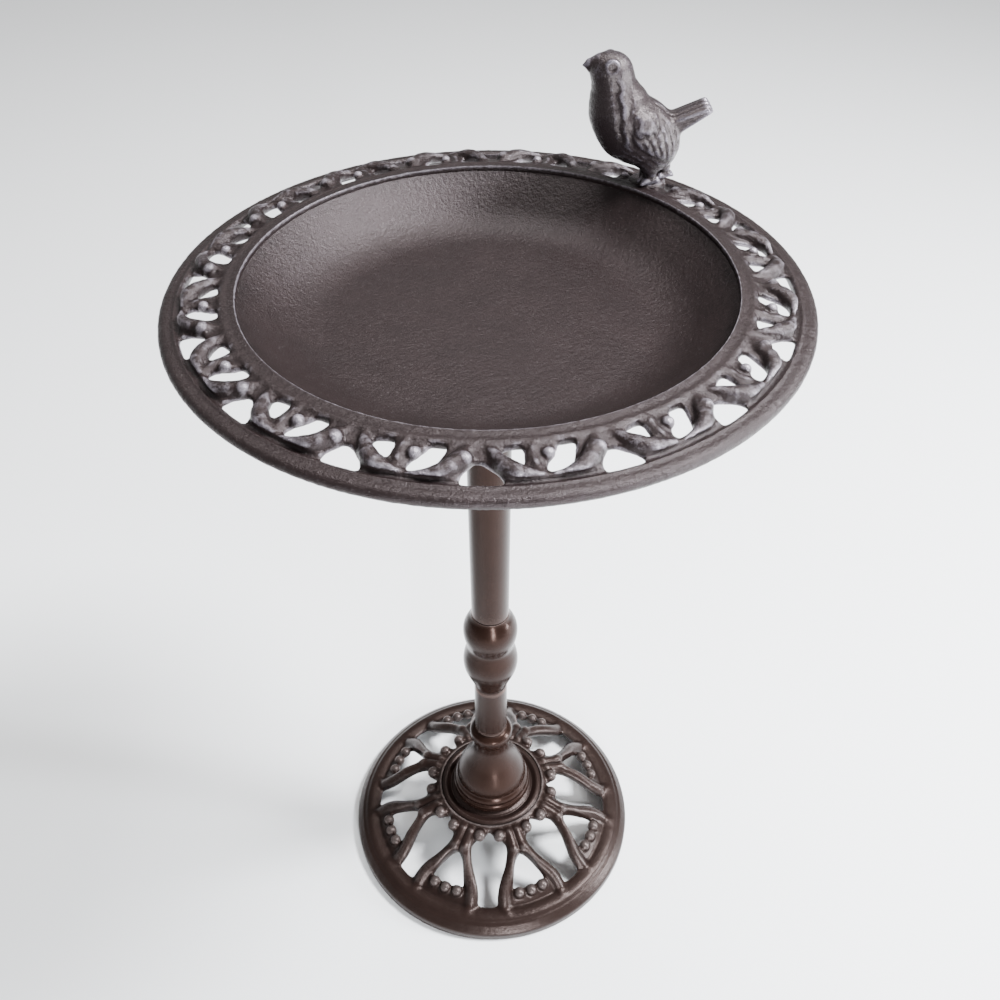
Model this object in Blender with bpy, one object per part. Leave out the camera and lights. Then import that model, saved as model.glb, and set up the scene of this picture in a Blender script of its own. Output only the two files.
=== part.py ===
"""Cast-iron bird bath: a pierced dish with a perched bird, on a turned stem and a pierced domed base.

Metres, +Z up. The origin is the centre of the base's underside, on the floor, and the front faces -Y.
Every casting is clamped between the dish and one nut under the base by a single tie rod.
"""
import math

import bmesh
import bpy
from mathutils import Matrix, Vector

# --- Overall sizes -------------------------------------------------------------------------------
RIM_HEIGHT = 0.405          # top of the dish's outer ring above the floor
DISH_RADIUS = 0.135
BASE_RADIUS = 0.0895

# --- Dish ----------------------------------------------------------------------------------------
RING_WIDTH = 0.008          # plain outer ring
RING_HEIGHT = 0.0056
PIERCED_WIDTH = 0.017       # openwork band between the ring and the bowl's lip
PIERCED_THICKNESS = 0.0032
LIP_WIDTH = 0.006
LIP_RISE = 0.004            # lip above the ring's top
BOWL_DEPTH = 0.022
BOWL_WALL = 0.0032
BOWL_WALL_RUN = 0.0245      # how far the sloping wall comes in between the lip and the floor
FLOOR_FILLET = 0.009
RIM_MOTIFS = 16
BOSS_RADIUS = 0.0148
BOSS_HEIGHT = 0.010
EDGE_ROUND = 0.0014         # small rounding on cast edges

# --- Stem ----------------------------------------------------------------------------------------
UPPER_STEM_RADIUS = 0.0103  # at its lower end
UPPER_STEM_TOP_RADIUS = 0.0112
LOWER_STEM_RADIUS = 0.0096
STEM_WALL = 0.002
SPIGOT_LENGTH = 0.006
KNUCKLE_TOP = 0.2005
KNUCKLE_BOTTOM = 0.139
KNUCKLE_BULGE_RADIUS = 0.0156
FOOT_TOP = 0.0972
FOOT_BELL_RADIUS = 0.0245

# --- Base ----------------------------------------------------------------------------------------
HUB_RADIUS = 0.034
HUB_HEIGHT = 0.036          # top of the hub's flat flange
BASE_WALL = 0.0045
BASE_RING_WIDTH = 0.0145    # plain band round the openwork
BASE_SKIRT_HEIGHT = 0.0075
BASE_FOOT_WIDTH = 0.0055    # flat face that stands on the floor
BASE_MOTIFS = 8
BASE_PATTERN_START = math.radians(-2.3)

# --- Tie rod and its fasteners --------------------------------------------------------------------
ROD_RADIUS = 0.004
ROD_HOLE_CLEARANCE = 0.0005
ROD_TAIL = 0.0015           # rod showing past the nut
WASHER_RADIUS = 0.0105
WASHER_THICKNESS = 0.0016
NUT_ACROSS_FLATS = 0.013
NUT_HEIGHT = 0.0065
TAPPED_COVER = 0.003        # metal left between the tapped hole and the bowl floor

# --- Bird and its screw ---------------------------------------------------------------------------
BIRD_LIP_DISTANCE = 0.0064  # middle of the bird's pad outside the lip
BIRD_BEARING = math.radians(139.0)
BIRD_SCALE = 1.0            # 1 is the size that the outline below is drawn at
BIRD_PAD_RADIUS = 0.0085
BIRD_PAD_DROP = 0.0008      # pad's underside below the ring's
BIRD_PAD_RISE = 0.0005      # pad's top above the lip
BIRD_STUB_RADIUS = 0.0042
SCREW_RADIUS = 0.002
SCREW_HOLE_CLEARANCE = 0.0004
SCREW_GRIP = 0.007          # thread inside the bird
SCREW_HEAD_RADIUS = 0.0038
SCREW_HEAD_HEIGHT = 0.0026
SMALL_WASHER_RADIUS = 0.0048
SMALL_WASHER_THICKNESS = 0.0009

# --- Fits and facets ------------------------------------------------------------------------------
GAP = 0.0003                # between pieces that touch
DISH_FACETS = 64
BASE_FACETS = 64
STEM_FACETS = 28
SMALL_FACETS = 20
MERGE = 1e-6
CUT_OVERSHOOT = 0.02        # how far a cutter runs past what it cuts

# --- Levels worked out from the sizes above -------------------------------------------------------
PIERCED_OUTER = DISH_RADIUS - RING_WIDTH
LIP_OUTER = PIERCED_OUTER - PIERCED_WIDTH
BOWL_MOUTH = LIP_OUTER - LIP_WIDTH
LIP_TOP = RIM_HEIGHT + LIP_RISE
FLOOR_TOP = LIP_TOP - BOWL_DEPTH
WALL_FOOT = BOWL_MOUTH - BOWL_WALL_RUN
BOSS_BOTTOM = FLOOR_TOP - BOWL_WALL - BOSS_HEIGHT
HUB_UNDERSIDE = HUB_HEIGHT - BASE_WALL
ROD_HOLE_RADIUS = ROD_RADIUS + ROD_HOLE_CLEARANCE
WASHER_TOP = HUB_UNDERSIDE - GAP
NUT_TOP = WASHER_TOP - WASHER_THICKNESS - GAP
ROD_BOTTOM = NUT_TOP - NUT_HEIGHT - ROD_TAIL
ROD_TOP = FLOOR_TOP - TAPPED_COVER - GAP
PAD_TOP = LIP_TOP + BIRD_PAD_RISE
PAD_BOTTOM = RIM_HEIGHT - RING_HEIGHT - BIRD_PAD_DROP
BIRD_DISTANCE = LIP_OUTER + BIRD_LIP_DISTANCE
BIRD_X = BIRD_DISTANCE * math.sin(BIRD_BEARING)
BIRD_Y = -BIRD_DISTANCE * math.cos(BIRD_BEARING)

# --- Openwork outlines: (share of the motif's pitch, share of the pierced band from the inside) ----
SPANDREL = [(-0.196, 0.97), (-0.187, 0.66), (-0.085, 0.34), (0.071, 0.74), (0.102, 0.97)]
SMALL_EYE = [(0.100, 0.12), (0.190, 0.01), (0.262, 0.01), (0.253, 0.56), (0.169, 0.48), (0.115, 0.32)]
TEARDROP = [(0.418, 0.66), (0.462, 0.34), (0.524, 0.21), (0.548, 0.01), (0.692, 0.01), (0.613, 0.54),
            (0.560, 0.80), (0.449, 0.76)]
# Half outlines on the base: (share of the pierced band from the hub, half width in metres)
LANCET = [(0.03, 0.0), (0.10, 0.003), (0.17, 0.0092), (0.30, 0.0112), (0.52, 0.0102), (0.76, 0.0068),
          (0.99, 0.0060)]
ARCHED_EYE = [(0.38, 0.0016), (0.50, 0.0054), (0.64, 0.0084), (0.78, 0.0100)]

# Rings of the bird's body, tail root to crown, in millimetres along and above its feet:
# (back x, back z, belly x, belly z, half width)
BIRD_RINGS = [
    (12.4, 31.6, 16.4, 21.5, 5.5), (6.2, 32.8, 15.8, 13.6, 10.0), (0.5, 35.8, 12.0, 7.6, 13.5),
    (-4.0, 39.0, -0.5, 5.8, 15.5), (-7.0, 42.0, -12.0, 8.5, 16.0), (-9.0, 45.0, -21.5, 13.5, 15.5),
    (-10.3, 48.5, -27.8, 21.0, 14.0), (-11.7, 52.0, -30.6, 30.0, 12.4), (-13.5, 55.5, -31.0, 40.0, 11.0),
    (-16.0, 58.0, -30.0, 47.0, 9.2), (-20.5, 59.2, -27.5, 54.0, 6.0),
]
BIRD_TAIL = [(8.0, 31.2, 11.5, 19.2, 7.0), (25.0, 37.9, 22.6, 28.2, 7.8), (27.6, 37.2, 26.6, 31.0, 7.2)]
BIRD_BEAK = [(-25.0, 57.0, -27.0, 49.5, 3.6), (-34.4, 54.2, -34.2, 53.2, 0.7)]
BIRD_LEGS = [(0.5, -5.2), (6.5, 5.2)]       # (along, across) of each leg, in millimetres
BIRD_LEG_RADIUS = 0.0026
BIRD_LEG_TOP = 0.014
BIRD_FOOT_RADII = (0.0058, 0.0036, 0.0026)
BIRD_FOOT_REACH = 0.0028    # toes ahead of the leg
MILLIMETRE = 0.001


def clear_scene():
    """Remove every object, so that the model starts from nothing."""
    for old in list(bpy.data.objects):
        bpy.data.objects.remove(old, do_unlink=True)


def iron(name, colour, roughness, metallic):
    """Return a Principled material."""
    material = bpy.data.materials.new(name)
    material.use_nodes = True
    shader = material.node_tree.nodes["Principled BSDF"]
    shader.inputs["Base Color"].default_value = (*colour, 1.0)
    shader.inputs["Roughness"].default_value = roughness
    shader.inputs["Metallic"].default_value = metallic
    return material


def solid(name, bm, material=None):
    """Turn a bmesh into a linked object whose faces point out."""
    bmesh.ops.remove_doubles(bm, verts=bm.verts, dist=MERGE)
    bmesh.ops.recalc_face_normals(bm, faces=bm.faces)
    mesh = bpy.data.meshes.new(name)
    bm.to_mesh(mesh)
    bm.free()
    mesh.shade_smooth()
    mesh.set_sharp_from_angle(angle=math.radians(35))
    piece = bpy.data.objects.new(name, mesh)
    bpy.context.scene.collection.objects.link(piece)
    if material:
        mesh.materials.append(material)
    return piece


def turned(name, profile, facets, material=None):
    """Spin a closed outline of (radius, height) points round Z."""
    bm = bmesh.new()
    corners = [bm.verts.new((radius, 0.0, height)) for radius, height in profile]
    edges = [bm.edges.new((corners[i - 1], corners[i])) for i in range(len(corners))]
    bmesh.ops.spin(bm, geom=corners + edges, cent=(0, 0, 0), axis=(0, 0, 1), dvec=(0, 0, 0),
                   angle=2 * math.pi, steps=facets, use_merge=False)
    return solid(name, bm, material)


def drum(name, radius, low, high, facets, at=(0.0, 0.0)):
    """Return a plain cylinder from one height to another."""
    bm = bmesh.new()
    place = Matrix.Translation((at[0], at[1], (low + high) / 2))
    bmesh.ops.create_cone(bm, cap_ends=True, segments=facets, radius1=radius, radius2=radius,
                          depth=high - low, matrix=place)
    return solid(name, bm)


def prisms(name, outlines, low, high):
    """Return upright prisms over several outlines of (x, y) points, as one cutter."""
    bm = bmesh.new()
    for outline in outlines:
        floor = bm.faces.new([bm.verts.new((x, y, low)) for x, y in outline])
        grown = bmesh.ops.extrude_face_region(bm, geom=[floor])["geom"]
        lifted = [item for item in grown if isinstance(item, bmesh.types.BMVert)]
        bmesh.ops.translate(bm, verts=lifted, vec=(0, 0, high - low))
    return solid(name, bm)


def combine(target, tool, operation):
    """Apply one Boolean to target, and delete the tool."""
    modifier = target.modifiers.new(operation.lower(), "BOOLEAN")
    modifier.operation = operation
    modifier.solver = "EXACT"
    modifier.object = tool
    depsgraph = bpy.context.evaluated_depsgraph_get()
    result = bpy.data.meshes.new_from_object(target.evaluated_get(depsgraph), depsgraph=depsgraph)
    target.modifiers.remove(modifier)
    result.shade_smooth()
    result.set_sharp_from_angle(angle=math.radians(35))
    target.data = result
    bpy.data.objects.remove(tool, do_unlink=True)


def rounded(points, share=0.28):
    """Replace each corner of an outline by two points, a share of the way along its sides."""
    result = []
    for i, corner in enumerate(points):
        here = Vector(corner)
        for other in (points[i - 1], points[(i + 1) % len(points)]):
            result.append(tuple(here.lerp(Vector(other), share)))
    return result


def filleted(start, corner, end, reach, steps):
    """Return a bend from start to end whose corner is rounded over a reach along both sides."""
    here = Vector(corner)
    towards_start = here + (Vector(start) - here).normalized() * reach
    towards_end = here + (Vector(end) - here).normalized() * reach
    bend = []
    for i in range(steps + 1):
        share = i / steps
        first = towards_start.lerp(here, share)
        second = here.lerp(towards_end, share)
        bend.append(tuple(first.lerp(second, share)))
    return [tuple(start)] + bend


# --- Dish -----------------------------------------------------------------------------------------
def dish_profile():
    """Return the dish's closed outline: bowl floor, wall, lip, pierced band, ring and underside."""
    bend_steps = 4
    mouth = Vector((BOWL_MOUTH, LIP_TOP - EDGE_ROUND))
    foot = Vector((WALL_FOOT, FLOOR_TOP))
    inside = filleted(mouth, foot, (0.0, FLOOR_TOP), FLOOR_FILLET, bend_steps)
    plate_top = LIP_TOP - EDGE_ROUND / 2
    plate_bottom = plate_top - PIERCED_THICKNESS
    slope = (mouth - foot).normalized()
    outer_foot = (WALL_FOOT + BOWL_WALL * (1 - slope.x) / slope.y, FLOOR_TOP - BOWL_WALL)
    outer_mouth = (outer_foot[0] + (plate_bottom - outer_foot[1]) * slope.x / slope.y, plate_bottom)
    outside = filleted(outer_mouth, outer_foot, (0.0, FLOOR_TOP - BOWL_WALL), FLOOR_FILLET, bend_steps)
    lip = [(BOWL_MOUTH + EDGE_ROUND, LIP_TOP), (LIP_OUTER - EDGE_ROUND, LIP_TOP), (LIP_OUTER, plate_top)]
    ring_middle = RIM_HEIGHT - RING_HEIGHT / 2
    ring_bottom = RIM_HEIGHT - RING_HEIGHT
    ring = [(PIERCED_OUTER, RIM_HEIGHT), (DISH_RADIUS - EDGE_ROUND, RIM_HEIGHT),
            (DISH_RADIUS, ring_middle + EDGE_ROUND / 2), (DISH_RADIUS, ring_middle - EDGE_ROUND / 2),
            (DISH_RADIUS - EDGE_ROUND, ring_bottom), (PIERCED_OUTER, ring_bottom),
            (PIERCED_OUTER, RIM_HEIGHT - PIERCED_THICKNESS)]
    boss = [(BOSS_RADIUS, FLOOR_TOP - BOWL_WALL), (BOSS_RADIUS, BOSS_BOTTOM), (0.0, BOSS_BOTTOM)]
    return [(0.0, FLOOR_TOP)] + inside[::-1] + lip + ring + outside + boss


def rim_outlines():
    """Return the outline of every opening in the dish's openwork band, as (x, y) points."""
    outlines = []
    pitch = 2 * math.pi / RIM_MOTIFS
    for motif in range(RIM_MOTIFS):
        for shape in (SPANDREL, SMALL_EYE, TEARDROP):
            outline = []
            for along, across in rounded(shape):
                turn = pitch * (motif + along)
                radius = LIP_OUTER + PIERCED_WIDTH * across
                outline.append((radius * math.sin(turn), -radius * math.cos(turn)))
            outlines.append(outline)
    return outlines


def make_dish(material):
    """Build the bowl, its openwork rim, the pad under the bird and the boss that the stem meets."""
    dish = turned("dish", dish_profile(), DISH_FACETS, material)
    low = RIM_HEIGHT - CUT_OVERSHOOT
    combine(dish, prisms("rim_cutter", rim_outlines(), low, RIM_HEIGHT + CUT_OVERSHOOT), "DIFFERENCE")
    combine(dish, drum("pad", BIRD_PAD_RADIUS, PAD_BOTTOM, PAD_TOP, SMALL_FACETS, (BIRD_X, BIRD_Y)), "UNION")
    hole = SCREW_RADIUS + SCREW_HOLE_CLEARANCE
    combine(dish, drum("screw_cutter", hole, low, PAD_TOP + CUT_OVERSHOOT, SMALL_FACETS, (BIRD_X, BIRD_Y)),
            "DIFFERENCE")
    tapped_top = FLOOR_TOP - TAPPED_COVER
    combine(dish, drum("tap_cutter", ROD_RADIUS + GAP, BOSS_BOTTOM - CUT_OVERSHOOT, tapped_top, SMALL_FACETS),
            "DIFFERENCE")
    return dish


# --- Stem -----------------------------------------------------------------------------------------
def tube_profile(lower_radius, upper_radius, low, high):
    """Return the outline of a tube with a straight bore, plain or tapered outside."""
    bore = lower_radius - STEM_WALL
    return [(bore, high), (upper_radius, high), (lower_radius, low), (bore, low)]


def make_upper_stem(material):
    """Build the tapered tube between the knuckle and the dish's boss."""
    profile = tube_profile(UPPER_STEM_RADIUS, UPPER_STEM_TOP_RADIUS, KNUCKLE_TOP + GAP, BOSS_BOTTOM - GAP)
    return turned("upper_stem", profile, STEM_FACETS, material)


def make_lower_stem(material):
    """Build the tube between the stem's foot and the knuckle."""
    profile = tube_profile(LOWER_STEM_RADIUS, LOWER_STEM_RADIUS, FOOT_TOP + GAP, KNUCKLE_BOTTOM - GAP)
    return turned("lower_stem", profile, STEM_FACETS, material)


def stacked(low, high, steps):
    """Turn (radius, share of the height) pairs into profile points between two levels."""
    return [(radius, low + (high - low) * share) for radius, share in steps]


def make_knuckle(material):
    """Build the double-bulged collar that joins the two tubes, with a spigot into each."""
    upper_spigot = UPPER_STEM_RADIUS - STEM_WALL - GAP
    lower_spigot = LOWER_STEM_RADIUS - STEM_WALL - GAP
    bulge = KNUCKLE_BULGE_RADIUS
    neck = UPPER_STEM_RADIUS
    outside = [(upper_spigot, KNUCKLE_TOP + SPIGOT_LENGTH), (upper_spigot, KNUCKLE_TOP)]
    outside += stacked(KNUCKLE_BOTTOM, KNUCKLE_TOP, [
        (neck + 0.0008, 1.0), (neck + 0.0022, 0.92), (bulge - 0.0010, 0.84), (bulge - 0.0005, 0.765),
        (bulge - 0.0011, 0.68), (bulge - 0.0022, 0.61), (bulge - 0.0022, 0.55), (bulge - 0.0007, 0.45),
        (bulge, 0.36), (bulge - 0.0006, 0.27), (LOWER_STEM_RADIUS + 0.0034, 0.15),
        (LOWER_STEM_RADIUS + 0.0012, 0.04), (LOWER_STEM_RADIUS + 0.0004, 0.0)])
    bore = [(lower_spigot, KNUCKLE_BOTTOM), (lower_spigot, KNUCKLE_BOTTOM - SPIGOT_LENGTH),
            (ROD_HOLE_RADIUS, KNUCKLE_BOTTOM - SPIGOT_LENGTH), (ROD_HOLE_RADIUS, KNUCKLE_TOP + SPIGOT_LENGTH)]
    return turned("knuckle_collar", outside + bore, STEM_FACETS, material)


def make_stem_foot(material):
    """Build the ringed collar and bell at the stem's bottom, which sits on the base's hub."""
    bottom = HUB_HEIGHT + GAP
    spigot = LOWER_STEM_RADIUS - STEM_WALL - GAP
    neck = LOWER_STEM_RADIUS + 0.0014
    bell = FOOT_BELL_RADIUS
    outside = [(spigot, FOOT_TOP + SPIGOT_LENGTH), (spigot, FOOT_TOP)]
    outside += stacked(bottom, FOOT_TOP, [
        (neck - 0.0004, 1.0), (neck + 0.0016, 0.96), (neck + 0.0019, 0.91), (neck + 0.0010, 0.85),
        (neck, 0.80), (neck + 0.0002, 0.70), (bell * 0.54, 0.59), (bell * 0.67, 0.44), (bell * 0.82, 0.30),
        (bell * 0.94, 0.18), (bell, 0.09), (bell - EDGE_ROUND, 0.0)])
    bore = [(ROD_HOLE_RADIUS, bottom), (ROD_HOLE_RADIUS, FOOT_TOP + SPIGOT_LENGTH)]
    return turned("stem_foot", outside + bore, STEM_FACETS, material)


# --- Base -----------------------------------------------------------------------------------------
def dome_curve(inner, outer, top, bottom, steps):
    """Return points down a dome whose slope grows steadily from the hub to the ring."""
    shares = [i / steps for i in range(steps + 1)]
    return [(inner + (outer - inner) * s, top - (top - bottom) * (0.55 * s + 0.45 * s * s)) for s in shares]


def base_profile():
    """Return the base's closed outline: hub, dome, ring, foot and hollow underside."""
    dome_outer = BASE_RADIUS - BASE_RING_WIDTH
    ring_top = BASE_SKIRT_HEIGHT + 0.0045
    steps = 5
    dome = dome_curve(HUB_RADIUS, dome_outer, HUB_HEIGHT, ring_top, steps)
    ring = [(BASE_RADIUS - 0.0085, ring_top - 0.0008), (BASE_RADIUS - 0.0030, BASE_SKIRT_HEIGHT + 0.0010),
            (BASE_RADIUS, BASE_SKIRT_HEIGHT - EDGE_ROUND), (BASE_RADIUS, 0.0)]
    inner_foot = BASE_RADIUS - BASE_FOOT_WIDTH
    under = [(inner_foot, 0.0), (inner_foot, BASE_SKIRT_HEIGHT - BASE_WALL / 2)]
    hollow = dome_curve(HUB_RADIUS, dome_outer, HUB_UNDERSIDE, ring_top - BASE_WALL, steps)
    hub = [(ROD_HOLE_RADIUS, HUB_UNDERSIDE), (ROD_HOLE_RADIUS, HUB_HEIGHT)]
    return dome + ring + under + hollow[::-1] + hub


def spoke_outline(half_outline, bearing):
    """Mirror a half outline about the radius at a bearing, and return its (x, y) points."""
    band_start = HUB_RADIUS
    band = BASE_RADIUS - BASE_RING_WIDTH - HUB_RADIUS
    left = [(band_start + band * along, -half) for along, half in half_outline]
    right = [(band_start + band * along, half) for along, half in half_outline[::-1] if half > 0]
    outward = Vector((math.sin(bearing), -math.cos(bearing)))
    sideways = Vector((math.cos(bearing), math.sin(bearing)))
    return [tuple(outward * along + sideways * half) for along, half in left + right]


def make_base(material):
    """Build the domed base with its lancets, and an arched eye between each two."""
    base = turned("base", base_profile(), BASE_FACETS, material)
    pitch = 2 * math.pi / BASE_MOTIFS
    outlines = []
    for motif in range(BASE_MOTIFS):
        outlines.append(spoke_outline(LANCET, BASE_PATTERN_START + pitch * motif))
        outlines.append(spoke_outline(ARCHED_EYE, BASE_PATTERN_START + pitch * (motif + 0.5)))
    combine(base, prisms("base_cutter", outlines, -CUT_OVERSHOOT, HUB_HEIGHT + CUT_OVERSHOOT), "DIFFERENCE")
    return base


# --- Tie rod, nut and washers -----------------------------------------------------------------------
def washer_profile(hole, outer, low, thickness):
    """Return the outline of a flat washer."""
    return [(hole, low + thickness), (outer, low + thickness), (outer, low), (hole, low)]


def make_tie_rod(material):
    """Build the rod that runs from the dish's boss to the nut."""
    point = EDGE_ROUND / 2
    profile = [(0.0, ROD_TOP), (ROD_RADIUS - point, ROD_TOP), (ROD_RADIUS, ROD_TOP - point),
               (ROD_RADIUS, ROD_BOTTOM + point), (ROD_RADIUS - point, ROD_BOTTOM), (0.0, ROD_BOTTOM)]
    return turned("tie_rod", profile, SMALL_FACETS, material)


def make_base_washer(material):
    """Build the flat washer under the base's hub."""
    low = WASHER_TOP - WASHER_THICKNESS
    return turned("base_washer", washer_profile(ROD_HOLE_RADIUS, WASHER_RADIUS, low, WASHER_THICKNESS),
                  SMALL_FACETS, material)


def make_base_nut(material):
    """Build the hexagon nut that clamps the whole assembly."""
    bm = bmesh.new()
    corner_radius = NUT_ACROSS_FLATS / math.sqrt(3)
    place = Matrix.Translation((0, 0, NUT_TOP - NUT_HEIGHT / 2))
    bmesh.ops.create_cone(bm, cap_ends=True, segments=6, radius1=corner_radius, radius2=corner_radius,
                          depth=NUT_HEIGHT, matrix=place)
    nut = solid("base_nut", bm, material)
    thread = drum("thread_cutter", ROD_RADIUS + GAP, ROD_BOTTOM - CUT_OVERSHOOT, HUB_HEIGHT, SMALL_FACETS)
    combine(nut, thread, "DIFFERENCE")
    return nut


# --- Bird -----------------------------------------------------------------------------------------
def lofted(name, rings, sides):
    """Skin rings of (back x, back z, belly x, belly z, half width), in millimetres, into one body."""
    bm = bmesh.new()
    loops = []
    for back_x, back_z, belly_x, belly_z, half_width in rings:
        back = Vector((back_x, 0, back_z))
        belly = Vector((belly_x, 0, belly_z))
        middle = (back + belly) / 2
        reach = (back - belly) / 2
        loop = []
        for side in range(sides):
            turn = 2 * math.pi * side / sides
            point = middle + reach * math.cos(turn) + Vector((0, half_width * math.sin(turn), 0))
            loop.append(bm.verts.new(point * MILLIMETRE * BIRD_SCALE))
        loops.append(loop)
    for lower, upper in zip(loops, loops[1:]):
        for side in range(sides):
            after = (side + 1) % sides
            bm.faces.new((lower[side], lower[after], upper[after], upper[side]))
    bm.faces.new(loops[0])
    bm.faces.new(loops[-1])
    return solid(name, bm)


def bird_limb(along, across):
    """Build one leg with its foot."""
    reach = MILLIMETRE * BIRD_SCALE
    at = (along * reach, across * reach)
    leg = drum("leg", BIRD_LEG_RADIUS * BIRD_SCALE, 0.0, BIRD_LEG_TOP * BIRD_SCALE, 10, at)
    bm = bmesh.new()
    size = Vector(BIRD_FOOT_RADII) * BIRD_SCALE
    place = Matrix.Translation((at[0] - BIRD_FOOT_REACH * BIRD_SCALE, at[1], size.z * 0.9))
    bmesh.ops.create_uvsphere(bm, u_segments=12, v_segments=6, radius=1.0,
                              matrix=place @ Matrix.Diagonal((*size, 1.0)))
    foot = solid("foot", bm)
    combine(leg, foot, "UNION")
    return leg


def make_bird(material):
    """Build the perched bird, facing -X, with a tapped stub between its feet."""
    bird = lofted("bird", BIRD_RINGS, 16)
    bird.data.materials.append(material)
    combine(bird, lofted("tail", BIRD_TAIL, 10), "UNION")
    combine(bird, lofted("beak", BIRD_BEAK, 8), "UNION")
    for along, across in BIRD_LEGS:
        combine(bird, bird_limb(along, across), "UNION")
    combine(bird, drum("stub", BIRD_STUB_RADIUS, 0.0, BIRD_LEG_TOP * BIRD_SCALE, SMALL_FACETS), "UNION")
    tapping = drum("tap_cutter", SCREW_RADIUS + GAP, -CUT_OVERSHOOT, SCREW_GRIP + 2 * GAP, SMALL_FACETS)
    combine(bird, tapping, "DIFFERENCE")
    floor = drum("floor_cutter", DISH_RADIUS, -CUT_OVERSHOOT, GAP, SMALL_FACETS)
    combine(bird, floor, "DIFFERENCE")
    bird.location = (BIRD_X, BIRD_Y, PAD_TOP)
    return bird


def make_bird_washer(material):
    """Build the small washer under the bird's pad."""
    low = PAD_BOTTOM - GAP - SMALL_WASHER_THICKNESS
    washer = turned("bird_washer", washer_profile(SCREW_RADIUS + SCREW_HOLE_CLEARANCE, SMALL_WASHER_RADIUS,
                                                  low, SMALL_WASHER_THICKNESS), SMALL_FACETS, material)
    washer.location = (BIRD_X, BIRD_Y, 0.0)
    return washer


def make_bird_screw(material):
    """Build the pan-head screw that holds the bird from below."""
    seat = PAD_BOTTOM - 2 * GAP - SMALL_WASHER_THICKNESS
    tip = PAD_TOP + SCREW_GRIP
    crown = [(0.0, seat - SCREW_HEAD_HEIGHT), (SCREW_HEAD_RADIUS * 0.72, seat - SCREW_HEAD_HEIGHT)]
    profile = [(0.0, tip), (SCREW_RADIUS, tip), (SCREW_RADIUS, seat), (SCREW_HEAD_RADIUS, seat),
               (SCREW_HEAD_RADIUS, seat - SCREW_HEAD_HEIGHT * 0.5)] + crown[::-1]
    screw = turned("bird_screw", profile, SMALL_FACETS, material)
    screw.location = (BIRD_X, BIRD_Y, 0.0)
    return screw


def main():
    """Build the whole bird bath."""
    clear_scene()
    makers = {
        make_dish: ("dish_iron", (0.060, 0.046, 0.045), 0.50, 0.55),
        make_bird: ("bird_iron", (0.075, 0.058, 0.057), 0.48, 0.55),
        make_upper_stem: ("upper_stem_iron", (0.060, 0.042, 0.038), 0.42, 0.55),
        make_knuckle: ("knuckle_iron", (0.058, 0.042, 0.040), 0.42, 0.55),
        make_lower_stem: ("lower_stem_iron", (0.060, 0.042, 0.038), 0.42, 0.55),
        make_stem_foot: ("stem_foot_iron", (0.056, 0.041, 0.038), 0.40, 0.55),
        make_base: ("base_iron", (0.060, 0.045, 0.041), 0.46, 0.55),
        make_tie_rod: ("rod_zinc", (0.62, 0.61, 0.58), 0.35, 1.0),
        make_base_washer: ("washer_zinc", (0.62, 0.61, 0.58), 0.35, 1.0),
        make_base_nut: ("nut_zinc", (0.60, 0.59, 0.56), 0.35, 1.0),
        make_bird_washer: ("bird_washer_zinc", (0.62, 0.61, 0.58), 0.35, 1.0),
        make_bird_screw: ("bird_screw_zinc", (0.60, 0.59, 0.56), 0.35, 1.0),
    }
    for make, finish in makers.items():
        make(iron(*finish))


main()
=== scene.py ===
"""Cast-iron bird bath: the finished looks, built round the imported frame.

The castings are modelled as distance fields: a field says how far each point is from the iron's
surface, and a net of small cells turns it into a mesh. The rim and the base repeat one motif, which
a Geometry Nodes tree sets out round the stem's axis. The stem's pieces are turned, and the fasteners
are built from profiles.

Bearings are in degrees from the front (-Y) towards the right (+X), seen from above. Lengths are in
metres, except where a comment or a docstring says mm: points of outlines and paths, and the bird.
"""

from __future__ import annotations

import logging
import math
from dataclasses import dataclass, field
from enum import Enum
from functools import reduce
from typing import Callable, Sequence

import bmesh
import bpy
import numpy as np
from mathutils import Matrix, Vector


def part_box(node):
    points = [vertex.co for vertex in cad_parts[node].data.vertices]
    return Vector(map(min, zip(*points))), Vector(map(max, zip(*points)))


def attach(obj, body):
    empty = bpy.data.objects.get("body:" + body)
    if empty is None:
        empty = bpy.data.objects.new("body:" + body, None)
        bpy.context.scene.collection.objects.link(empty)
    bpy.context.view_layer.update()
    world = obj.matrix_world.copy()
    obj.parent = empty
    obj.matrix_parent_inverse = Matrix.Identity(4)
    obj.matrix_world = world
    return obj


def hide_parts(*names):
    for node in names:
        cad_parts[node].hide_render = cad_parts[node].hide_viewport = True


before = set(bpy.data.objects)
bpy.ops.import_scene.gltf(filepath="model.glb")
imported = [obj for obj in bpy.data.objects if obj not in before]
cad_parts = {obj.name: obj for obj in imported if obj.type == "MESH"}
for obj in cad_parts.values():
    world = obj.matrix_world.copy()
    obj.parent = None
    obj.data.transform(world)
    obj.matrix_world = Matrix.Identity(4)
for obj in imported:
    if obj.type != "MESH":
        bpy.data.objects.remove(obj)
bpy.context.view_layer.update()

LOG = logging.getLogger("bird_bath")
BODY = "root"
MM = 0.001
NEIGHBOURS = (-1, 0, 1)
BETWEEN = (-1.5, -0.5, 0.5, 1.5)
FULL_TURN = 2.0 * math.pi

Colour = tuple[float, float, float]
Plan = tuple[float, float]
Place = tuple[float, float, float]
Outline = list[Plan]


class Slot(Enum):
    """The record's material slots."""

    DISH = "dish_iron"
    BIRD = "bird_iron"
    STEM = "stem_iron"
    BASE = "base_iron"
    ZINC = "zinc_steel"


# --- Distance fields ------------------------------------------------------------------------------
def merged(a: np.ndarray, b: np.ndarray, blend: float) -> np.ndarray:
    """Join two fields, with a fillet of the blend's size where they meet."""
    share = np.clip(0.5 + 0.5 * (b - a) / blend, 0.0, 1.0)
    return b + (a - b) * share - blend * share * (1.0 - share)


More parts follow.
